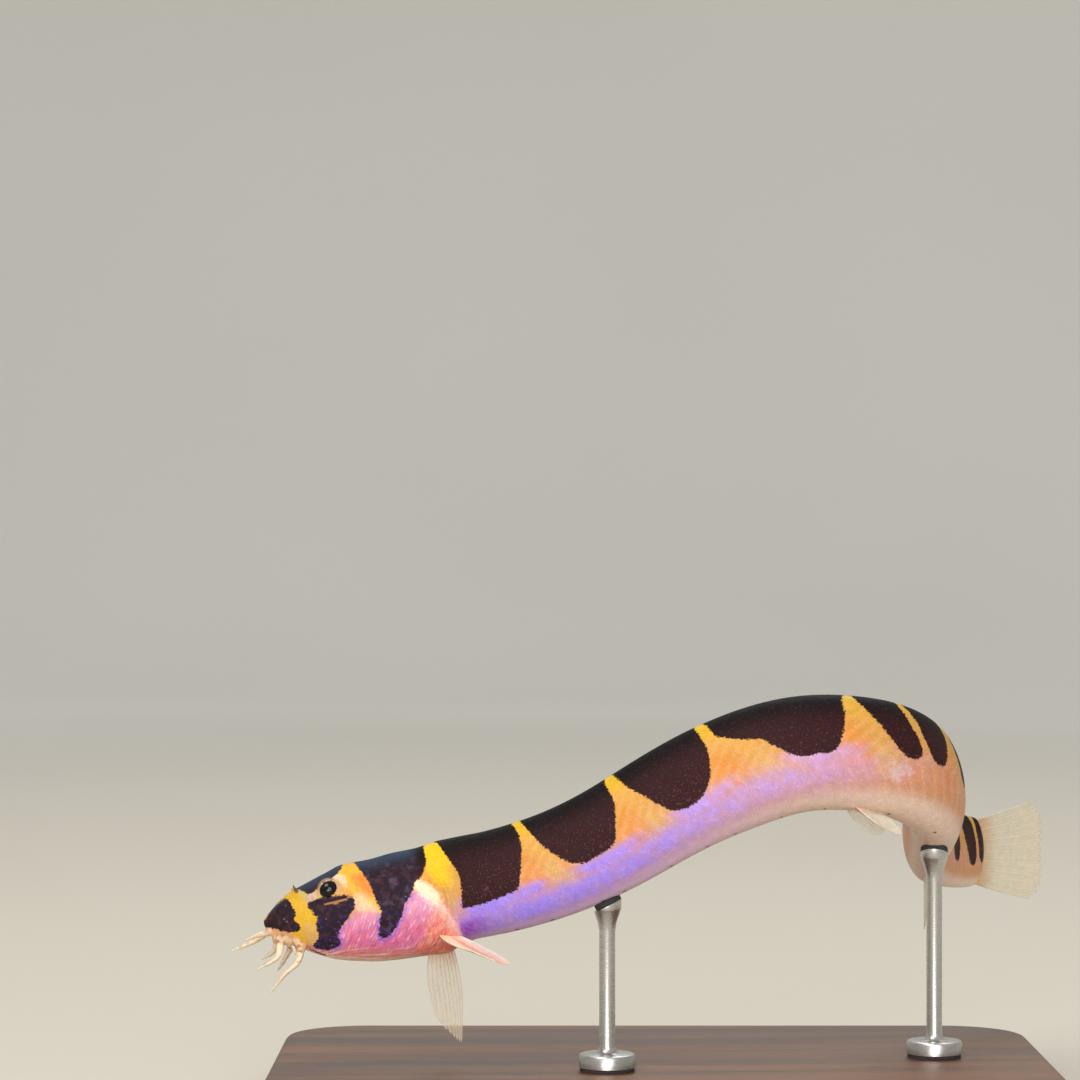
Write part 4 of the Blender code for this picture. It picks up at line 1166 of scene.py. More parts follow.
@dataclass(frozen=True)
class Feelers:
    """Six feelers round the mouth and the two soft lobes of the lower lip."""

    left: dict[str, tuple[Point, ...]] = field(default_factory=lambda: {
        "rostral": ((0.75, -0.30, -0.62), (0.25, -0.62, -0.78), (-0.75, -1.55, -0.80),
                    (-1.70, -2.30, -0.95)),
        "maxillary": ((1.00, -0.55, -1.10), (1.05, -1.25, -1.75), (0.60, -1.75, -2.75),
                      (-1.05, -2.10, -3.40)),
        "mandibular": ((2.30, -0.80, -1.30), (2.55, -1.60, -2.35), (2.15, -1.95, -3.35),
                       (1.00, -2.05, -4.15), (-0.30, -1.80, -5.45)),
    })
    right: dict[str, tuple[Point, ...]] = field(default_factory=lambda: {
        "rostral": ((0.75, 0.30, -0.62), (0.10, 0.55, -0.95), (-1.20, 0.85, -1.55), (-2.85, 1.05, -1.95)),
        "maxillary": ((1.00, 0.55, -1.10), (0.85, 1.20, -1.85), (0.45, 1.65, -2.60), (-0.60, 2.00, -3.15)),
        "mandibular": ((2.20, 0.80, -1.40), (1.95, 1.55, -2.35), (1.20, 2.10, -3.50), (0.60, 2.60, -4.30)),
    })
    radius: float = 0.32
    tip_radius: float = 0.08
    flatness: float = 0.85
    sides: int = 28
    rings: int = 96
    root_share: float = 0.34
    root_gain: float = 1.04
    root_blend: float = 0.30
    lobe_along: float = 1.9
    lobe_off: float = 20.0
    lobe_way: Point = (0.30, 0.30, -0.90)
    lobe_bow: float = 0.10
    lobe_length: float = 0.95
    lobe_radius: float = 0.30
    lobe_taper: float = 0.6

    def ways(self, side: Side) -> dict[str, tuple[Point, ...]]:
        """The way points of one side's feelers."""
        return self.left if side is Side.LEFT else self.right

    def radii(self, shares: Array) -> Array:
        """The feeler's radius from root to tip, a little wavy as soft tissue is."""
        taper = self.radius + (self.tip_radius - self.radius) * shares ** 1.9
        return taper * (1 + 0.04 * np.sin(19 * shares) + 0.03 * np.sin(43 * shares + 1))

    def roots(self) -> list[Strand]:
        """The first stretch of each feeler, a little stouter than the feeler itself."""
        strands = []
        for ways in (*self.left.values(), *self.right.values()):
            route = smooth_route(ways, 8)
            count = max(3, round(self.root_share * len(route)))
            radii = self.radii(np.linspace(0.0, self.root_share, count)) * self.root_gain
            strands.append(Strand.along(route[:count], radii, self.root_blend))
        return strands

    def relief(self, relief: Relief) -> None:
        """Swell the skin where each feeler leaves it."""
        relief.ridges.extend(self.roots())

    def tube(self, name: str, ways: Sequence[Sequence[float]], radius: Callable[[Array], Array]) -> Mesh:
        """A closed tube with round ends, slightly flattened.

        Args:
            name: the mesh's name.
            ways: the way points of its middle line.
            radius: gives its radius at shares of its length.

        Returns:
            The mesh, bent with the fish.
        """
        route = smooth_route(ways, 24)
        lengths = np.concatenate(([0.0], np.cumsum(np.linalg.norm(np.diff(route, axis=0), axis=1))))
        shares = 0.5 * (1 - np.cos(np.linspace(0.0, math.pi, self.rings + 1)))
        centres = rows(*(np.interp(shares, lengths / lengths[-1], axis) for axis in route.T))
        ahead = unit(np.gradient(centres, axis=0))
        across = unit(np.cross(ahead, (0.2, 0.1, 1.0)))
        up = np.cross(across, ahead)
        sizes = radius(shares)
        end_gap = np.minimum(shares * lengths[-1] / sizes[0], (1 - shares) * lengths[-1] / sizes[-1])
        sizes = sizes * np.sqrt(1 - np.clip(1 - end_gap, 0.0, 1.0) ** 2)

        def place(ring: Array, turn: Array) -> Array:
            spread = sizes[ring][:, None]
            return (centres[ring] + spread * np.cos(turn)[:, None] * across[ring]
                    + spread * self.flatness * np.sin(turn)[:, None] * up[ring])

        mesh, straight = ringed_ball(name, self.sides, self.rings, place)
        nearest = np.abs(straight[:, None, :] - centres[None, ::4, :]).sum(axis=2).argmin(axis=1)
        note(mesh, out=shares[::4][nearest])
        return mesh

    def build(self, finish: Material) -> None:
        """Make the feelers and the lobes of the lower lip."""
        for side in Side:
            for kind, ways in self.ways(side).items():
                end = "_%s_%s" % (kind, side.word)
                add_piece("feeler" + end, self.tube("feeler" + end, ways, self.radii), finish, "barbel",
                          "barbel" + end)
        bow = np.array((self.lobe_bow, 0.0, 0.0))
        for side in Side:
            angle = KEEL + side.value * math.radians(self.lobe_off)
            root = FORM.skin(np.array(self.lobe_along), np.array(angle))
            way = np.array(self.lobe_way) * (1, side.value, 1)
            ways = (root - 0.45 * way, root + 0.2 * way + bow, root + 0.62 * way + bow,
                    root + self.lobe_length * way)
            name = "lip_lobe_" + side.word
            mesh = self.tube(name, ways,
                             lambda shares: self.lobe_radius * (1 - self.lobe_taper * shares ** 2))
            add_piece(name, mesh, finish, "barbel")


# Fins


@dataclass(frozen=True)
class FinRays:
    """How the rays of a fin are raised in its membrane."""

    count: int
    columns_each: int = 14
    rows: int = 72
    # Half the membrane's thickness and a ray's height over it, and how much they taper to the edge
    membrane: float = 0.055
    membrane_taper: float = 0.55
    ridge: float = 0.10
    ridge_taper: float = 0.72
    # A ray's width as a share of the gap between rays, and how it narrows and forks
    width: float = 0.26
    narrowing: float = 0.35
    branch_share: float = 0.36
    fork_from: float = 0.5
    fork_blend: float = 0.15
    fork_spread: float = 0.17
    scallop: float = 0.035
    joints: int = 22

    def profile(self, across: Array, out: Array) -> Array:
        """How much of a ray lies at each place, from 0 on the membrane to 1 on a ray's middle."""
        place = across * (self.count - 1)
        away = np.abs(place - np.rint(place))
        fork = self.fork_spread * smooth_step(self.fork_from, 1.0, out)
        width = self.width * (1 - self.narrowing * out)
        single = np.exp(-(away / (0.5 * width)) ** 2)
        forked = np.exp(-((away - fork) / (self.branch_share * width)) ** 2)
        blend = smooth_step(self.fork_from, self.fork_from + self.fork_blend, out)
        return single * (1 - blend) + forked * blend

    def half_thickness(self, across: Array, out: Array) -> Array:
        """Half the fin's thickness in mm."""
        ray = self.profile(across, out) * (1 - self.ridge_taper * out)
        return self.membrane * (1 - self.membrane_taper * out) + self.ridge * ray

    def edge(self, across: Array) -> Array:
        """The share of its length to which the fin reaches, drawn in a little between rays."""
        return 1 - self.scallop * np.abs(np.sin(math.pi * across * (self.count - 1))) ** 0.8

    def sheet(self, name: str, place: Callable[[Array, Array, Array], Array]) -> Mesh:
        """A fin's closed sheet, its two faces extruded from one grid.

        Args:
            name: the mesh's name.
            place: takes shares across and out and the face's sign, and returns places in mm.

        Returns:
            The mesh, which keeps where the rays and their joints lie.
        """
        bm = bmesh.new()
        columns = self.columns_each * (self.count - 1)
        bmesh.ops.create_grid(bm, x_segments=columns, y_segments=self.rows, size=0.5)
        raised = bmesh.ops.extrude_face_region(bm, geom=bm.faces[:], use_keep_orig=True)
        for element in raised["geom"]:
            if isinstance(element, bmesh.types.BMVert):
                element.co.z = 1.0
        mesh = mesh_of(name, bm)
        grid = read_points(mesh)
        across, out = grid[:, 0] + 0.5, grid[:, 1] + 0.5
        set_points(mesh, place(across, out, np.where(grid[:, 2] > 0.5, 1.0, -1.0)))
        ray = self.profile(across, out)
        joint = ray * (0.5 + 0.5 * np.cos(2 * math.pi * self.joints * out))
        note(mesh, across=across, out=out, ray=ray, joint=joint, strokes=rows(across, out, 0 * out))
        return face_out(mesh)


@dataclass(frozen=True)
class PairedFin:
    """A fin of a pair: a fan of rays from a root in the body, bowed along its length."""

    kind: str
    root: Point
    root_width: float
    rays: FinRays
    lengths: Stations
    tips: Stations
    bulge: float
    bow: float
    directions: dict[Side, tuple[Point, Point]]
    swell: float

    def axes(self, side: Side) -> tuple[Array, Array, Array]:
        """The fin's directions outward, across and out of its face."""
        middle, across = (np.array(way) for way in self.directions[side])
        middle = unit(middle)
        across = unit(across - middle * (across @ middle))
        return middle, across, np.cross(middle, across)

    def offsets(self, side: Side, across: Array, out: Array) -> Array:
        """Places on the fin's middle surface, from the spine at the root, in straight directions."""
        middle, across_way, face = self.axes(side)
        reach = Profile(self.lengths)(across) * out
        sideways = self.root_width * (across - 0.5) * (1 - out) + Profile(self.tips)(across) * out
        sideways = sideways + self.bulge * (2 * across - 1) * np.sin(math.pi * out)
        arch = self.bow * (out ** 2 + 0.35 * (2 * across - 1) ** 2 * out)
        foot = np.array((0.0, side.value * self.root[1], self.root[2]))
        return foot + reach[:, None] * middle + sideways[:, None] * across_way + arch[:, None] * face

    def relief(self, relief: Relief) -> None:
        """Swell the skin round the fin's root."""
        across = np.linspace(0.05, 0.95, 7)
        for side in Side:
            line = self.offsets(side, across, np.full(7, 0.06)) + (self.root[0], 0.0, 0.0)
            relief.ridges.append(Strand.along(line, self.swell, 1.1 * self.swell))

    def build(self, finishes: dict[Side, Material]) -> None:
        """Make both fins of the pair."""
        for side in Side:
            face = self.axes(side)[2]

            def place(across: Array, out: Array, sign: Array) -> Array:
                thick = sign * self.rays.half_thickness(across, out)
                middle = self.offsets(side, across, out * self.rays.edge(across))
                return SPINE.set_on(self.root[0], middle + thick[:, None] * face)

            name = "fin_%s_%s" % (self.kind, side.word)
            add_piece(name, self.rays.sheet(name, place), finishes[side], "fin",
                      "%s_fin_%s" % (self.kind, side.word))


@dataclass(frozen=True)
class MedianFin:
    """A fin in the middle plane, on the back, the belly or the end of the tail."""

    kind: str
    rays: FinRays
    base: tuple[float, float]
    lengths: Stations
    leans: Stations = ((0.0, 0.0), (1.0, 0.0))
    up: int = 1
    sunk: float = 1.2
    seam_drop: float = 0.05
    seam_radius: float = 0.16
    seam_blend: float = 0.5

    def middle(self, across: Array, out: Array) -> Array:
        """Places on the fin's middle surface in the straight fish."""
        along = self.base[0] + (self.base[1] - self.base[0]) * across
        lean = np.radians(Profile(self.leans)(across))
        reach = (Profile(self.lengths)(across) + self.sunk) * out
        height = FORM.edge(self.up)(along) - self.sunk + reach * np.cos(lean)
        return rows(along + reach * np.sin(lean), 0 * along, self.up * height)

    def relief(self, relief: Relief) -> None:
        """Draw the skin up a little along the fin's root."""
        along = np.linspace(*self.base, 9)
        line = rows(along + 0.3, 0 * along, self.up * (FORM.edge(self.up)(along) - self.seam_drop))
        relief.ridges.append(Strand.along(line, self.seam_radius, self.seam_blend))

    def build(self, finish: Material) -> None:
        """Make the fin."""
        def place(across: Array, out: Array, sign: Array) -> Array:
            straight = self.middle(across, out * self.rays.edge(across))
            straight[:, 1] += sign * self.rays.half_thickness(across, out)
            return SPINE.bend(straight)

        name = "fin_" + self.kind
        add_piece(name, self.rays.sheet(name, place), finish, "fin", self.kind + "_fin")


@dataclass(frozen=True)
class CaudalFin(MedianFin):
    """The tail fin, a fan of rays from inside the end of the tail stalk."""

    root_half: float = 2.65
    fan: float = 10.0

    def middle(self, across: Array, out: Array) -> Array:
        """Places on the fin's middle surface in the straight fish."""
        height = 2 * across - 1
        angle = math.radians(self.fan) * height
        reach = Profile(self.lengths)(across) * out
        return rows(self.base[0] + reach * np.cos(angle), 0 * across,
                    self.root_half * height + reach * np.sin(angle))

    def relief(self, relief: Relief) -> None:
        """The stalk's end is left as it is."""


PECTORAL = PairedFin(
    kind="pectoral", root=(13.9, 1.35, -2.75), root_width=1.1, rays=FinRays(9),
    lengths=((0.0, 7.4), (0.3, 8.9), (0.65, 9.9), (0.85, 10.1), (1.0, 9.1)),
    tips=((0.0, -1.4), (0.5, -0.1), (1.0, 0.6)), bulge=0.55, bow=0.5, swell=0.54,
    directions={Side.LEFT: ((0.38, -0.88, -0.29), (0.86, 0.45, -0.24)),
                Side.RIGHT: ((-0.01, 0.27, -0.96), (1.0, 0.10, 0.0))},
)
PELVIC = PairedFin(
    kind="pelvic", root=(50.0, 0.75, -3.75), root_width=0.8, rays=FinRays(6),
    lengths=((0.0, 3.9), (0.35, 4.9), (0.75, 4.6), (1.0, 3.6)),
    tips=((0.0, -0.85), (0.5, 0.1), (1.0, 0.95)), bulge=0.2, bow=0.2, swell=0.3,
    directions={Side.LEFT: ((0.80, -0.30, -0.52), (0.45, 0.70, 0.35)),
                Side.RIGHT: ((0.80, 0.30, -0.52), (0.45, -0.70, 0.35))},
)
DORSAL = MedianFin(
    kind="dorsal", rays=FinRays(8), base=(59.4, 64.6), up=1,
    lengths=((0.0, 4.2), (0.25, 6.2), (0.6, 6.3), (1.0, 4.9)), leans=((0.0, 52.0), (1.0, 66.0)),
)
ANAL = MedianFin(
    kind="anal", rays=FinRays(7), base=(68.6, 72.6), up=-1,
    lengths=((0.0, 4.3), (0.3, 6.2), (0.65, 6.0), (1.0, 4.6)), leans=((0.0, 38.0), (1.0, 62.0)),
)
CAUDAL = CaudalFin(
    kind="caudal", rays=FinRays(13), base=(87.6, 87.6),
    lengths=((0.0, 10.4), (0.12, 11.9), (0.3, 12.4), (0.5, 12.2), (0.7, 12.4), (0.88, 11.9), (1.0, 10.4)),
)


# Skin


@dataclass(frozen=True)
class Skin:
    """One skin over the head, the trunk and the tail stalk."""

    coat: Coat
    eyes: Eyes
    mouth: Mouth
    nostrils: Nostrils
    cheeks: Cheeks
    feelers: Feelers
    fins: tuple[PairedFin | MedianFin, ...]
    nodes: tuple[str, ...] = ("head", "trunk_front", "trunk_middle", "trunk_rear", "tail_stalk")
    sides: int = 160
    rings: int = 600
    # How close the rings lie, from the snout to the tail, in mm
    spacing: Stations = (
        (0, 0.008), (0.3, 0.03), (1.2, 0.045), (4.5, 0.06), (8, 0.09), (15.5, 0.10), (18, 0.22),
        (48, 0.26), (86, 0.26), (89, 0.10), (89.6, 0.01),
    )
    muscle_depth: float = 0.010
    muscle_pitch: float = 1.15
    # How far the marks reach beside the lips and beside the ridges they belong to
    lip_reach: float = 0.35
    root_reach: float = 0.14
    flap_reach: float = 0.12
    sheath_reach: float = 0.035
    eye_squash: Point = (1.0, 0.35, 1.0)

    def ring_places(self) -> Array:
        """Distances of the rings from the snout."""
        along = np.linspace(0.0, SPINE.length, 40001)
        counted = np.cumsum(1 / Profile(self.spacing)(along))
        return np.interp(np.linspace(counted[0], counted[-1], self.rings + 1), counted, along)

    def muscles(self, along: Array, angle: Array) -> Array:
        """The faint zigzag between the muscle segments under the flank's skin, from 0 to 1."""
        degrees = np.degrees(np.arcsin(np.sin(angle)))
        zigzag = np.where(degrees > 0, 4.6, 2.4) * np.abs(degrees) / 60
        wave = np.cos(2 * math.pi * (along - zigzag) / self.muscle_pitch)
        fade = smooth_step(15.5, 22.0, along) * (1 - smooth_step(84.0, 89.0, along)) * np.cos(angle) ** 2
        return fade * smooth_step(0.2, 1.0, wave)

    def near_strands(self, strands: Sequence[Strand], where: Array, reach: float) -> Array:
        """A mask that is 1 on the strands' surfaces and falls to 0 at a reach from them."""
        best = np.full(len(where), np.inf)
        for strand in strands:
            index = strand.near(where, reach)
            best[index] = np.minimum(best[index], strand.distance(where[index]))
        return 1 - smooth_step(0.02, reach, best)

    def build(self, finish: Material) -> None:
        """Shape, mark and bend the skin."""
        relief = Relief()
        for part in (self.eyes, self.mouth, self.nostrils, self.cheeks, self.feelers, *self.fins):
            part.relief(relief)
        places = self.ring_places()
        kept: dict[str, Array] = {}

        def place(ring: Array, turn: Array) -> Array:
            along = places[ring]
            points, outward = FORM.skin(along, turn), FORM.outward(along, turn)
            muscle, folds = self.muscles(along, turn), self.cheeks.fold_heights(along, turn)
            heights = relief.heights(points, outward) + folds * (along > 1.0) - self.muscle_depth * muscle
            kept.update(along=along, angle=turn, height=points[:, 2], relief=heights, muscle=muscle)
            return points + outward * heights[:, None]

        mesh, straight = ringed_ball("loach_skin", self.sides, self.rings, place)
        self.coat.mark(mesh, kept["along"], kept["angle"], kept["height"])
        mouth = self.mouth
        lips = Strand.along(mouth.lip(), mouth.lip_radius, mouth.lip_blend).distance(straight)
        gaps = [np.linalg.norm((straight - self.eyes.centre(side)) * self.eye_squash, axis=1)
                for side in Side]
        note(mesh, relief=kept["relief"], muscle=kept["muscle"], eye_gap=np.minimum(*gaps),
             lips=1 - smooth_step(0.0, self.lip_reach, lips),
             feeler_root=self.near_strands(self.feelers.roots(), straight, self.root_reach),
             flap=self.near_strands(self.nostrils.flaps(), straight, self.flap_reach),
             sheath=self.near_strands(self.cheeks.sheaths(), straight, self.sheath_reach))
        add_piece("loach_skin", mesh, finish, "skin", *self.nodes)


@dataclass(frozen=True)
class SkinFinish:
    """Wet, slightly see-through skin: yellow over orange over a violet sheen, under dark bars."""

    coat: Coat
    flank: Stops = (
        (0.0, "#ebc81c"), (0.16, "#e4b42c"), (0.32, "#daa044"), (0.48, "#d7954c"), (0.62, "#d49a68"),
        (0.80, "#d6a686"),
    )
    rear_flank: Stops = (
        (0.0, "#d8b02e"), (0.20, "#d5a344"), (0.40, "#d69a50"), (0.58, "#d6955a"), (0.80, "#d49c74"),
    )
    tan: str = "#d9b25c"
    orange: str = "#de8e3a"
    sheen: str = "#a68cfa"
    sheen_rear: str = "#c8a2e6"
    sheen_front: str = "#9a52d0"
    belly: str = "#ecd0bc"
    belly_front: str = "#e8c8de"
    bar_ridge: str = "#080a0d"
    bar_flank: str = "#33171a"
    bar_fleck: str = "#6e3f42"
    bar_head: str = "#281a26"
    bar_violet: str = "#443a7c"
    crown: str = "#2f4055"
    lip: str = "#dfc096"
    eye_ring: str = "#c4a48c"
    pore: str = "#9aa6ae"
    # Painted shade for the sunk mouth, nostril bores and pits, and slits, laid where the relief is deepest
    deep: str = "#4a201c"
    dot: str = "#4a3020"
    muscle_line: str = "#f8dcc0"
    sheen_glint: str = "#cbb8ff"
    stroke_pale: str = "#fbdcea"
    stroke_rose: str = "#c4487e"
    cheek_top: str = "#e8bcd8"
    cheek_glint: str = "#a884f4"
    # Painted glints: violet sparkles on the cheek just outside the dark bars
    bar_edge_glint: str = "#7a66e0"
    jaw_pale: str = "#f6d8cc"
    jaw_red: str = "#c85a70"
    gill_pale: str = "#f4b49c"
    lip_shadow: str = "#845632"
    head_brown: str = "#54332e"
    head_bloom: str = "#5d4c68"
    flap: str = "#2a281f"
    # Painted shade: brown laid by noise over the feeler roots, for the shadows in the folds between them
    root_shadow: str = "#8a5c3c"
    sheath: str = "#c08a5e"

    def build(self, mottle: NodeTree) -> Material:
        """Make the material."""
        paint = Paint.on("loach_skin")
        straight, flat = paint.vector("straight"), paint.vector("flat")
        cells = paint.cells(flat.mapped((1.0, 1.25, 1.0)), 5.2)
        colour = self.ground(paint, straight.part("X"), flat)
        colour = self.patches(paint, colour, straight)
        colour = self.streaks(paint, colour, flat)
        colour = self.face(paint, colour, straight)
        dark, share = self.bars(paint, straight.part("X"), straight)
        colour = self.rims(paint, colour.painted(dark, share), straight)
        colour, height = paint.mottled(mottle, colour, straight, 1.6, 0.26)
        return paint.shade({
            "Base Color": colour.scaled(cells.ranged(0.08, 0.5, 1.07, 0.90)),
            "Roughness": height.ranged(0.35, 0.65, 0.40, 0.52) + share * 0.16,
            "Coat Weight": share.ranged(0.0, 1.0, 0.10, 0.0), "Coat Roughness": 0.22,
            "Normal": paint.bump(height, 0.00003, 0.25, paint.bump(cells, 0.000025, 0.35)),
            "Specular IOR Level": 0.13, "Subsurface Weight": 0.12,
            "Subsurface Radius": (1.0, 0.5, 0.4), "Subsurface Scale": 0.0006,
        })

    def ground(self, paint: Paint, along: Wire, flat: Wire) -> Wire:
        """Yellow to orange down the flank, the violet sheen low on it, and the pale belly."""
        down = paint.value("down")
        colour = paint.mix(along.ranged(36.0, 56.0), down.ramp(self.flank), down.ramp(self.rear_flank))
        cloud = paint.noise(flat.mapped((1.0, 0.8, 1.0), (0.0, 0.0, 0.6)), 0.42).ranged(0.42, 0.66)
        colour = colour.painted(self.tan, cloud * (down.ranged(0.16, 0.34) * down.ranged(0.70, 0.55)) * 0.3)
        low = down.ranged(0.72, 0.56)
        warm = low * down.ranged(0.20, 0.36, 0.0, 0.85)
        colour = colour.painted(self.orange, paint.value("behind") * warm)
        colour = colour.painted(self.tan, paint.value("ahead") * low * down.ranged(0.10, 0.26, 0.0, 0.7))
        colour = colour.painted(self.muscle_line, paint.value("muscle") * 0.15)
        belly = paint.mix(along.ranged(30.0, 48.0), self.belly_front, self.belly)
        colour = colour.painted(belly, paint.value("belly"))
        hue = paint.mix(along.ranged(24.0, 44.0), self.sheen, self.sheen_rear)
        hue = hue.painted(self.sheen_front, along.ranged(18.6, 15.6) * down.ranged(0.62, 0.72))
        lines = paint.noise(flat.mapped((3.4, 0.9, 1.0), (0.0, 0.0, -0.8)), 1.6)
        share = paint.value("sheen") * lines.ranged(0.30, 0.62, 0.78, 1.10)
        share = share * paint.noise(flat, 0.8, 3.0).ranged(0.30, 0.62, 0.78, 1.12)
        hue = hue.painted(self.sheen_glint, lines.ranged(0.50, 0.72, 0.0, 0.35))
        return colour.painted(hue, share.at_most(1.0))

    def patches(self, paint: Paint, colour: Wire, straight: Wire) -> Wire:
        """The soft patches of colour, laid one on the other with ragged borders."""
        ragged = (paint.noise(straight, 3.6, 3.0) - 0.5) * 0.9
        for patch in self.coat.patches:
            edge = (paint.value(patch.name) + ragged).ranged(0.12, 0.88)
            colour = colour.painted(patch.colour, edge * patch.strength)
        return colour

    def streaks(self, paint: Paint, colour: Wire, flat: Wire) -> Wire:
        """Fine rose and pale strokes over the cheek, and long pale lines along the jaw."""
        cheek = paint.value("cheek_pink")
        strokes = paint.noise(flat.mapped((3.4, 0.7, 1.0), (0.0, 0.0, 0.6)), 1.7, 3.0, 0.6)
        glints = paint.noise(flat, 4.6).ranged(0.56, 0.66)
        beside = paint.noise(flat, 3.4).ranged(0.44, 0.58, 0.2, 0.9) * cheek
        lines = paint.noise(flat.mapped((0.30, 3.0, 1.0), (0.0, 0.0, 0.10)), 1.25)
        jaw = paint.value("jaw_rose").at_least(paint.value("chin_cream") * 0.8)
        torn = paint.noise(flat.mapped((2.2, 0.9, 1.0), (0.0, 0.0, 0.3)), 1.3, 3.0).ranged(0.45, 0.66)
        layers = (
            (self.stroke_pale, strokes.ranged(0.54, 0.68) * cheek * 0.65),
            (self.stroke_rose, strokes.ranged(0.46, 0.34) * cheek * 0.6),
            (self.cheek_top, paint.value("down").ranged(0.66, 0.50, 0.0, 0.45) * cheek),
            (self.cheek_glint, glints * cheek * 0.5),
            # painted violet glints just outside the bars
            (self.bar_edge_glint, paint.value("dark").ranged(-0.55, -0.05) * beside),
            (self.jaw_pale, lines.ranged(0.54, 0.64) * jaw * 0.7),
            (self.jaw_red, lines.ranged(0.45, 0.36) * jaw * 0.4),
            (self.gill_pale, torn * paint.value("gill_blush") * 0.7),
        )
        for layer, share in layers:
            colour = colour.painted(layer, share)
        return colour

    def face(self, paint: Paint, colour: Wire, straight: Wire) -> Wire:
        """Tan lips with brown shadows, and the dots along the keel."""
        shadow = paint.noise(straight, 1.5).ranged(0.48, 0.62) * 0.8
        colour = colour.painted(paint.mix(shadow, self.lip, self.lip_shadow), paint.value("lips"))
        return colour.painted(self.dot, paint.value("dots").ranged(0.12, 0.24, 0.9, 0.0))

    def bars(self, paint: Paint, along: Wire, straight: Wire) -> tuple[Wire, Wire]:
        """The dark of the bars, blue-black on the crown, and where it lies, with finely torn edges."""
        down, dark = paint.value("down"), paint.value("dark")
        torn = paint.noise(straight.mapped((0.8, 1.0, 1.0)), 6.0, 2.0, 0.6) - 0.5
        share = (dark + torn * 0.46 + (paint.noise(straight, 0.9) - 0.5) * 0.26).ranged(-0.05, 0.07)
        body = paint.mix(down.ranged(0.10, 0.36), self.bar_ridge, self.bar_flank)
        flecks = paint.noise(straight, 6.5).ranged(0.56, 0.70)
        body = body.painted(self.bar_fleck, flecks * down.ranged(0.24, 0.52, 0.25, 0.75))
        brown = paint.noise(straight, 1.9, 4.0, 0.6).ranged(0.48, 0.66, 0.0, 0.55)
        bloom = paint.noise(straight, 1.3, 3.0).ranged(0.50, 0.68) * along.ranged(7.0, 8.5)
        head = paint.mix(brown, self.bar_head, self.head_brown).painted(self.head_bloom, bloom * 0.6)
        head = paint.mix(down.ranged(0.06, 0.26), self.crown, head)
        violet = paint.noise(straight, 4.4).ranged(0.50, 0.66) * down.ranged(0.36, 0.66, 0.15, 0.95)
        violet = violet * along.ranged(2.6, 3.6) * dark.ranged(0.9, 0.1, 0.35, 1.0)
        scattered = paint.noise(straight, 0.7, 1.0).ranged(0.46, 0.54)
        pores = paint.cells(straight, 1.7).ranged(0.11, 0.06) * scattered
        head = head.painted(self.bar_violet, violet).painted(self.pore, pores * 0.75)
        return paint.mix(along.ranged(13.2, 12.0), body, head), share

    def rims(self, paint: Paint, colour: Wire, straight: Wire) -> Wire:
        """Thin pale eye rims; painted shade between feeler roots and in the sunk mouth, nostrils and slits.
        """
        ring = paint.value("eye_gap").ranged(0.90, 1.06, 0.75, 0.0) * straight.part("Z").ranged(1.3, 2.2)
        # Painted shade between the feeler roots, laid where this noise is high
        fold = paint.noise(straight, 1.9).ranged(0.48, 0.58, 0.0, 0.85)
        root = paint.mix(fold, FEELER_ROOT, self.root_shadow)
        for layer, share in ((self.eye_ring, ring), (self.flap, paint.value("flap") * 0.85),
                             (root, paint.value("feeler_root") * 0.75),
                             # painted shade where the skin is sunk
                             (self.deep, paint.value("relief").ranged(-0.10, -0.28)),
                             (self.sheath, paint.value("sheath") * 0.9)):
            colour = colour.painted(layer, share)
        return colour


@dataclass(frozen=True)
class EyeFinish:
    """A black eye with a thin pale iris ring, glossy as if wet."""

    pupil: str = "#050506"
    iris: str = "#0c0908"
    ring: str = "#8f7262"
    under: str = "#231a20"

    def build(self, mottle: NodeTree) -> Material:
        """Make the material."""
        paint = Paint.on("loach_eye")
        straight = paint.vector("straight")
        wavy = paint.value("off_axis") + paint.noise(straight, 4.0) * 0.04
        rim = paint.mix(straight.part("Z").ranged(1.25, 2.1), self.under, self.ring)
        disc = paint.mix(wavy.ranged(0.46, 0.52), self.pupil, self.iris)
        eye = disc.painted(rim, wavy.ranged(0.79, 0.86))
        colour, height = paint.mottled(mottle, eye, straight, 3.0, 0.4)
        return paint.shade({
            "Base Color": colour, "Roughness": height.ranged(0.3, 0.7, 0.12, 0.20),
            "Specular IOR Level": 0.12, "Coat Weight": 0.40, "Coat Roughness": 0.07,
        })


@dataclass(frozen=True)
class FeelerFinish:
    """Soft, faintly see-through flesh, cream with a rosy root."""

    colours: Stops = ((0.10, FEELER_ROOT), (0.38, "#ead6b9"), (1.0, "#e6dac2"))
    vein: str = "#a07450"
    tip_alpha: float = 0.72

    def build(self, mottle: NodeTree) -> Material:
        """Make the material."""
        paint = Paint.on("loach_feeler")
        out, straight = paint.value("out"), paint.vector("straight")
        veins = paint.noise(straight, 3.2).ranged(0.54, 0.68, 0.0, 0.5)
        colour = out.ramp(self.colours).painted(self.vein, veins)
        colour, height = paint.mottled(mottle, colour, straight, 3.0, 0.25)
        return paint.shade({
            "Base Color": colour, "Roughness": height.ranged(0.3, 0.7, 0.32, 0.46),
            "Normal": paint.bump(height, 0.00003, 0.4), "Alpha": out.ranged(0.30, 1.0, 1.0, self.tip_alpha),
            "Subsurface Weight": 0.35, "Subsurface Radius": (1.0, 0.7, 0.6), "Subsurface Scale": 0.0005,
            "Coat Weight": 0.2,
        })


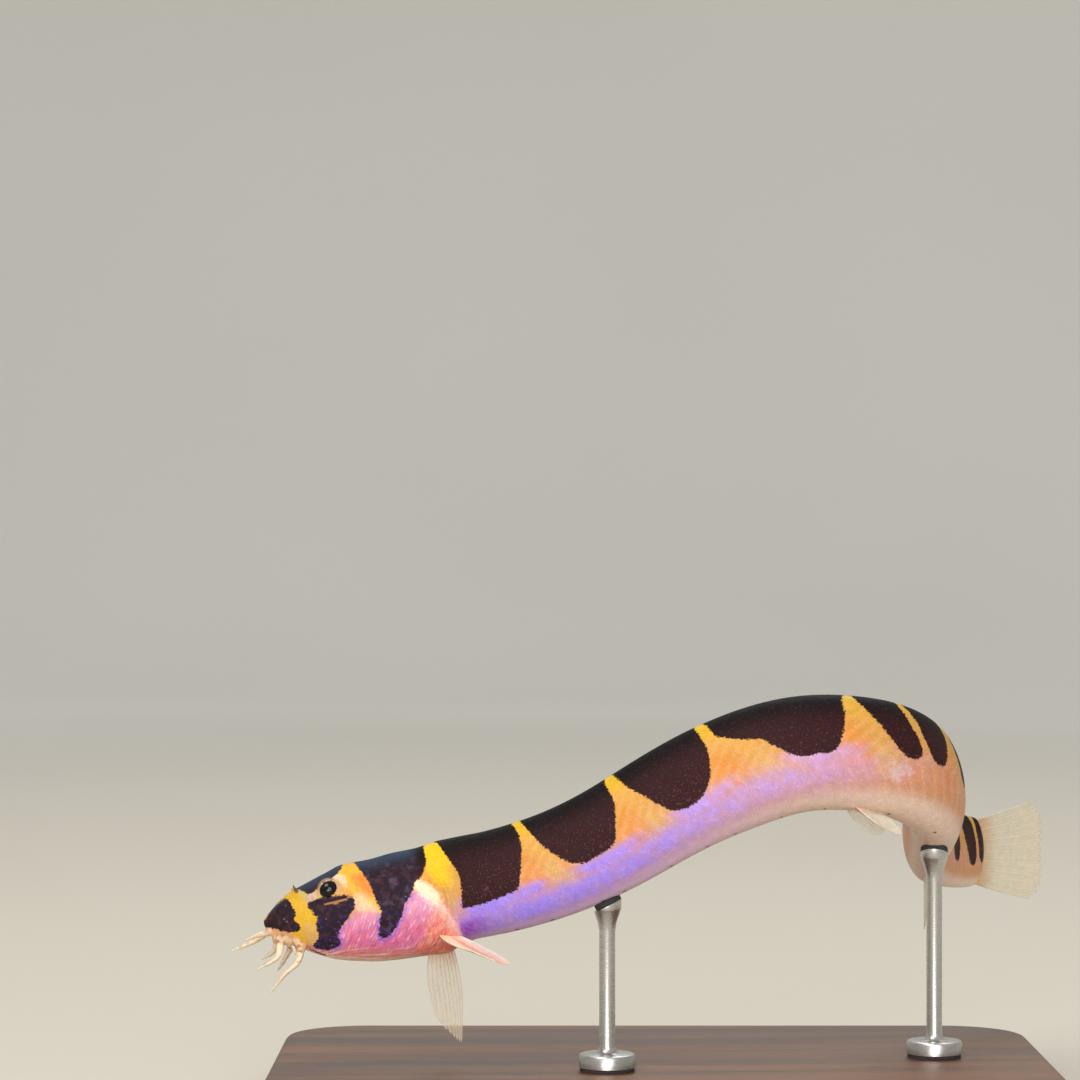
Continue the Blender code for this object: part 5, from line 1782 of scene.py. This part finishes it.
@dataclass(frozen=True)
class FinFinish:
    """A clear membrane between creamy rays, denser and rosier at the root."""

    name: str
    membrane: str = "#e9dfc4"
    ray: str = "#f2e6d0"
    root: str = "#f0b08e"
    joint: str = "#a98f6c"
    root_reach: float = 0.45
    membrane_alpha: float = 0.24
    ray_alpha: float = 0.66
    # Colours from the front ray to the rear ray, where the fin is streaked
    streaks: Stops = ()
    streak_share: float = 0.85

    def build(self, mottle: NodeTree) -> Material:
        """Make the material."""
        paint = Paint.on(self.name)
        out, ray = paint.value("out"), paint.value("ray")
        colour = paint.mix(ray, self.membrane, self.ray)
        if self.streaks:
            strokes = paint.noise(paint.vector("strokes").mapped((9.0, 1.6, 1.0)), 1.0) - 0.5
            streaked = (paint.value("across") + strokes * 0.55).ramp(self.streaks)
            colour = colour.painted(streaked, self.streak_share)
        colour = colour.painted(self.root, out.ranged(0.05, self.root_reach, 1.0, 0.0))
        colour = colour.painted(self.joint, paint.value("joint") * 0.12)
        colour, height = paint.mottled(mottle, colour, paint.place(), 1500.0, 0.25)
        opacity = ray.ranged(0.05, 0.9, self.membrane_alpha, self.ray_alpha)
        return paint.shade({
            "Base Color": colour, "Roughness": height.ranged(0.3, 0.7, 0.30, 0.48),
            "Normal": paint.bump(height, 0.00002, 0.3), "Coat Weight": 0.15,
            "Alpha": (opacity + out.ranged(0.06, self.root_reach, 0.55, 0.0)).at_most(1.0),
        })


# Stand


@dataclass(frozen=True)
class WalnutFinish:
    """Oiled walnut: long dark and light bands, fine pores and a soft shine."""

    light: str = "#7a5236"
    dark: str = "#3c2416"
    pore: str = "#20120a"

    def build(self) -> Material:
        """Make the material."""
        paint = Paint.on("walnut")
        place = paint.place()
        warp = paint.noise(place.mapped((12.0, 60.0, 60.0)), 1.0).scaled(0.55)
        stretched = place.mapped((16.0, 230.0, 150.0), (0.05, 0.0, 0.06))
        grain = paint.node("ShaderNodeVectorMath", "Vector", {0: stretched, 1: warp}, operation="ADD")
        bands = paint.noise(grain, 1.0, 4.0, 0.55)
        pores = paint.noise(place.mapped((260.0, 5200.0, 5200.0)), 1.0).ranged(0.60, 0.70)
        wood = paint.mix(bands.ranged(0.34, 0.66), self.dark, self.light)
        return paint.shade({
            "Base Color": wood.painted(self.pore, pores * 0.6),
            "Roughness": bands.ranged(0.3, 0.7, 0.38, 0.52),
            "Normal": paint.bump(bands * 0.3 - pores, 0.00004, 0.5),
            "Coat Weight": 0.12, "Coat Roughness": 0.25,
        })


@dataclass(frozen=True)
class SteelFinish:
    """Brushed stainless steel, with fine turning marks."""

    tint: str = "#c9c9c6"
    mark: str = "#8f9092"

    def build(self) -> Material:
        """Make the material."""
        paint = Paint.on("steel")
        marks = paint.noise(paint.place().mapped((900.0, 900.0, 22000.0)), 1.0)
        return paint.shade({
            "Base Color": paint.mix(marks.ranged(0.3, 0.7, 0.0, 0.35), self.tint, self.mark),
            "Roughness": marks.ranged(0.3, 0.7, 0.24, 0.38),
            "Normal": paint.bump(marks, 0.000008, 0.5), "Metallic": 1.0,
        })


@dataclass(frozen=True)
class FeltFinish:
    """Dark grey felt for the pads between the hard pieces."""

    tint: str = "#3a3a3c"
    shadow: str = "#2a2a2c"

    def build(self) -> Material:
        """Make the material."""
        paint = Paint.on("felt")
        fuzz = paint.noise(paint.place(), 9000.0, 3.0, 0.7)
        return paint.shade({"Base Color": paint.mix(fuzz, self.shadow, self.tint), "Roughness": 0.95,
                            "Normal": paint.bump(fuzz, 0.00005, 0.7)})


@dataclass(frozen=True)
class Stand:
    """A rounded walnut plate with two turned steel rods that end in padded cups under the belly."""

    corner: float = 7.0
    edge: float = 0.7
    gap: float = 0.3
    rod_radius: float = 0.65
    neck_radius: float = 0.88
    neck_height: float = 0.6
    foot_radius: float = 2.3
    foot_height: float = 1.1
    foot_edge: float = 0.25
    cup_radius: float = 1.15
    cup_rim: float = 0.6
    cup_flare: float = 2.4
    pad_rim: float = 0.08
    rods: tuple[tuple[str, float], ...] = (("front", 28.5), ("rear", 62.0))
    sides: int = 72

    def base(self) -> Mesh:
        """The plate, with its corners and its upper edge rounded."""
        low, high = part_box("stand_base")
        middle = (low + high) / 2
        bm = bmesh.new()
        bmesh.ops.create_cube(bm, size=1.0)
        bmesh.ops.scale(bm, vec=high - low, verts=bm.verts[:])
        bmesh.ops.translate(bm, vec=middle, verts=bm.verts[:])
        for above, offset, segments in ((1, self.corner, 24), (2, self.edge, 6)):
            picked = [edge for edge in bm.edges
                      if sum(vert.co.z > middle.z for vert in edge.verts) == above]
            bmesh.ops.bevel(bm, geom=picked, offset=offset * MM, segments=segments, profile=0.5,
                            affect="EDGES", material=-1)
        return hard_mesh("walnut_base", bm, 40)

    def belly(self, along: float) -> tuple[Vector, Vector]:
        """The belly's point straight over a rod, in mm, and the direction out of it."""
        under, place = np.array(KEEL), np.array(along)
        lowest = SPINE.bend(FORM.skin(place, under))
        out = unit(SPINE.bend(FORM.skin(place, under) + FORM.outward(place, under)) - lowest)
        drop = (lowest - SPINE.axes(place)[0]) @ out / -out[2]
        return SPINE.centre(along) - Vector((0, 0, drop)), Vector(out)

    def rod(self, name: str, along: float) -> Mesh:
        """A rod with its foot and its cup, cut along the belly."""
        point, out = self.belly(along)
        centre = SPINE.centre(along)
        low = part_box("stand_base")[1].z / MM + self.gap
        foot, top = low + self.foot_height, point.z + 2.0
        rim, flare = point.z - self.cup_rim, point.z - self.cup_flare
        bm = turned((
            (0.0, top), (self.cup_radius, top), (self.cup_radius, rim), (self.cup_radius - 0.06, rim - 0.12),
            (self.rod_radius + 0.12, flare + 0.7), (self.rod_radius, flare),
            (self.rod_radius, foot + self.neck_height), (self.rod_radius + 0.05, foot + 0.3),
            (self.neck_radius, foot + 0.04), (self.neck_radius + 0.1, foot),
            (self.foot_radius - self.foot_edge, foot), (self.foot_radius - 0.09, foot - 0.07),
            (self.foot_radius, foot - self.foot_edge), (self.foot_radius, low), (0.0, low),
        ), self.sides)
        bmesh.ops.translate(bm, vec=(centre.x * MM, centre.y * MM, 0.0), verts=bm.verts[:])
        bmesh.ops.bisect_plane(bm, geom=bm.verts[:] + bm.edges[:] + bm.faces[:], dist=1e-8,
                               plane_co=(point + out * self.gap) * MM, plane_no=-out, clear_outer=True)
        bmesh.ops.edgeloop_fill(bm, edges=[edge for edge in bm.edges if edge.is_boundary])
        return hard_mesh(name, bm, 35)

    def pad(self, name: str, centre: Vector, out: Vector, radius: float, thickness: float) -> Mesh:
        """A soft round pad with rounded rims.

        Args:
            name: the mesh's name.
            centre: its middle, in mm.
            out: the direction that it faces.
            radius: its radius.
            thickness: its thickness.

        Returns:
            The mesh.
        """
        half = thickness / 2
        rim = min(self.pad_rim, half * 0.8)
        upper = ((0.0, half), (radius - rim, half), (radius - 0.3 * rim, half - 0.3 * rim),
                 (radius, half - rim))
        bm = turned((*upper, *((width, -height) for width, height in reversed(upper))), self.sides)
        turn = out.to_track_quat("Z", "Y").to_matrix().to_4x4()
        bmesh.ops.transform(bm, matrix=Matrix.Translation(centre * MM) @ turn, verts=bm.verts[:])
        return hard_mesh(name, bm, 50)

    def build(self) -> None:
        """Make the plate, the rods and the pads between them."""
        walnut, steel, felt = WalnutFinish().build(), SteelFinish().build(), FeltFinish().build()
        add_piece("walnut_base", self.base(), walnut, "stand_wood", "stand_base")
        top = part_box("stand_base")[1].z / MM
        for end, along in self.rods:
            name = "steel_rod_" + end
            add_piece(name, self.rod(name, along), steel, "stand_steel", "stand_rod_" + end)
            centre = SPINE.centre(along)
            point, out = self.belly(along)
            foot = Vector((centre.x, centre.y, top + self.gap / 2))
            cup = point + out * (self.gap / 2 - 0.08)
            pads = (
                ("foot_pad_" + end, foot, Vector((0, 0, 1)), self.foot_radius - 0.1, self.gap + 0.04),
                ("cup_pad_" + end, cup, out, self.cup_radius - 0.03, self.gap + 0.2),
            )
            for pad in pads:
                add_piece(pad[0], self.pad(*pad), felt, "stand_steel")


# Studio


@dataclass(frozen=True)
class Studio:
    """A pale bowl of a floor and backdrop, soft lights, and the camera level with the fish's side."""

    camera_place: Point = (-10.0, -310.5, 46.7)
    lens: float = 125.0
    floor_radius: float = 800.0
    bowl_radius: float = 500.0
    floor_drop: float = 0.02
    floor_tint: str = "#d8d4c8"
    wall_tint: str = "#f4f2ec"
    floor_cloud: str = "#b9b4a6"
    # Each light's place in mm, its width in mm, its power in watts and its colour
    lights: tuple[tuple[str, Point, float, float, str], ...] = (
        ("key", (-240.0, -380.0, 480.0), 300.0, 0.56, "#fff4e4"),
        ("front", (40.0, -470.0, 135.0), 250.0, 0.24, "#fbf8ff"),
        ("low", (-60.0, -430.0, 14.0), 160.0, 0.17, "#fff2ee"),
        ("back", (60.0, 420.0, 520.0), 360.0, 0.27, "#ffffff"),
    )
    # How widely each light fans out, in degrees, so that the floor beneath it stays even
    spread: float = 100.0
    world_tint: str = "#f4f3f0"
    world_strength: float = 0.60

    def add(self, name: str, data: bpy.types.ID, place: Point = (0.0, 0.0, 0.0)) -> bpy.types.Object:
        """Put something in the scene at a place in mm."""
        item = bpy.data.objects.new(name, data)
        item.location = Vector(place) * MM
        bpy.context.scene.collection.objects.link(item)
        return item

    def build(self) -> None:
        """Make the floor, lights, world and camera."""
        scene = bpy.context.scene
        self.add("floor", self.floor())
        for name, place, width, power, tint in self.lights:
            light = bpy.data.lights.new(name, "AREA")
            light.shape = "DISK"
            light.size = width * MM
            light.spread = math.radians(self.spread)
            light.energy = power
            light.color = linear(tint)[:3]
            item = self.add(name, light, place)
            item.rotation_euler = (-Vector(place)).to_track_quat("-Z", "Y").to_euler()
            item.visible_camera = False
        scene.world = bpy.data.worlds.new("studio")
        scene.world.use_nodes = True
        background = scene.world.node_tree.nodes["Background"].inputs
        background["Color"].default_value = linear(self.world_tint)
        background["Strength"].default_value = self.world_strength
        data = bpy.data.cameras.new("camera")
        data.lens = self.lens
        data.sensor_width = 36.0
        data.clip_start = 0.01
        data.clip_end = 20.0
        scene.camera = self.add("camera", data, self.camera_place)
        scene.camera.rotation_euler = (math.pi / 2, 0.0, 0.0)
        scene.view_settings.view_transform = "Standard"

    def floor(self) -> Mesh:
        """A round floor that curves up into a backdrop on every side."""
        bend = ((self.floor_radius + self.bowl_radius * math.sin(turn),
                 self.bowl_radius * (1 - math.cos(turn))) for turn in np.linspace(0.0, math.pi / 2, 17))
        bm = turned(((0.0, 0.0), *bend), 96)
        bmesh.ops.translate(bm, vec=(0.0, 0.0, -self.floor_drop * MM), verts=bm.verts[:])
        mesh = mesh_of("floor", bm)
        mesh.shade_smooth()
        paint = Paint.on("floor")
        place = paint.place()
        reach = paint.node("ShaderNodeVectorMath", "Value", {0: place}, operation="LENGTH")
        tint = paint.mix(reach.ranged(0.25, 0.75), self.floor_tint, self.wall_tint)
        cloud = paint.noise(place, 3.0).ranged(0.3, 0.7, 0.0, 0.10)
        colour = tint.painted(self.floor_cloud, cloud)
        mesh.materials.append(paint.shade({"Base Color": colour, "Roughness": 0.85}))
        return mesh


def main() -> None:
    """Build the studio, the fish and its stand."""
    logging.basicConfig(level=logging.INFO, format="%(message)s")
    Studio().build()
    mottle = MottleGroup().build()
    coat, eyes, feelers = Coat(), Eyes(), Feelers()
    fins = (PECTORAL, PELVIC, DORSAL, ANAL, CAUDAL)
    Skin(coat, eyes, Mouth(), Nostrils(), Cheeks(), feelers, fins).build(SkinFinish(coat).build(mottle))
    eyes.build(EyeFinish().build(mottle))
    feelers.build(FeelerFinish().build(mottle))
    dense = FinFinish("dense_fin", membrane="#f6dcc0", ray="#fff4e6", root="#f6b49c", root_reach=0.25,
                      membrane_alpha=0.86, ray_alpha=0.98,
                      streaks=((0.0, "#fff2cc"), (0.30, "#fdebd2"), (0.50, "#ee9f86"), (0.64, "#f6cdb8"),
                               (0.95, "#f4e6e6"))).build(mottle)
    clear = FinFinish("clear_fin").build(mottle)
    median = FinFinish("median_fin", root="#d9a66a", membrane_alpha=0.45, ray_alpha=0.85).build(mottle)
    PECTORAL.build({Side.LEFT: dense, Side.RIGHT: clear})
    PELVIC.build({Side.LEFT: clear, Side.RIGHT: clear})
    for fin in (DORSAL, ANAL, CAUDAL):
        fin.build(median)
    Stand().build()


if __name__ == "__main__":
    main()
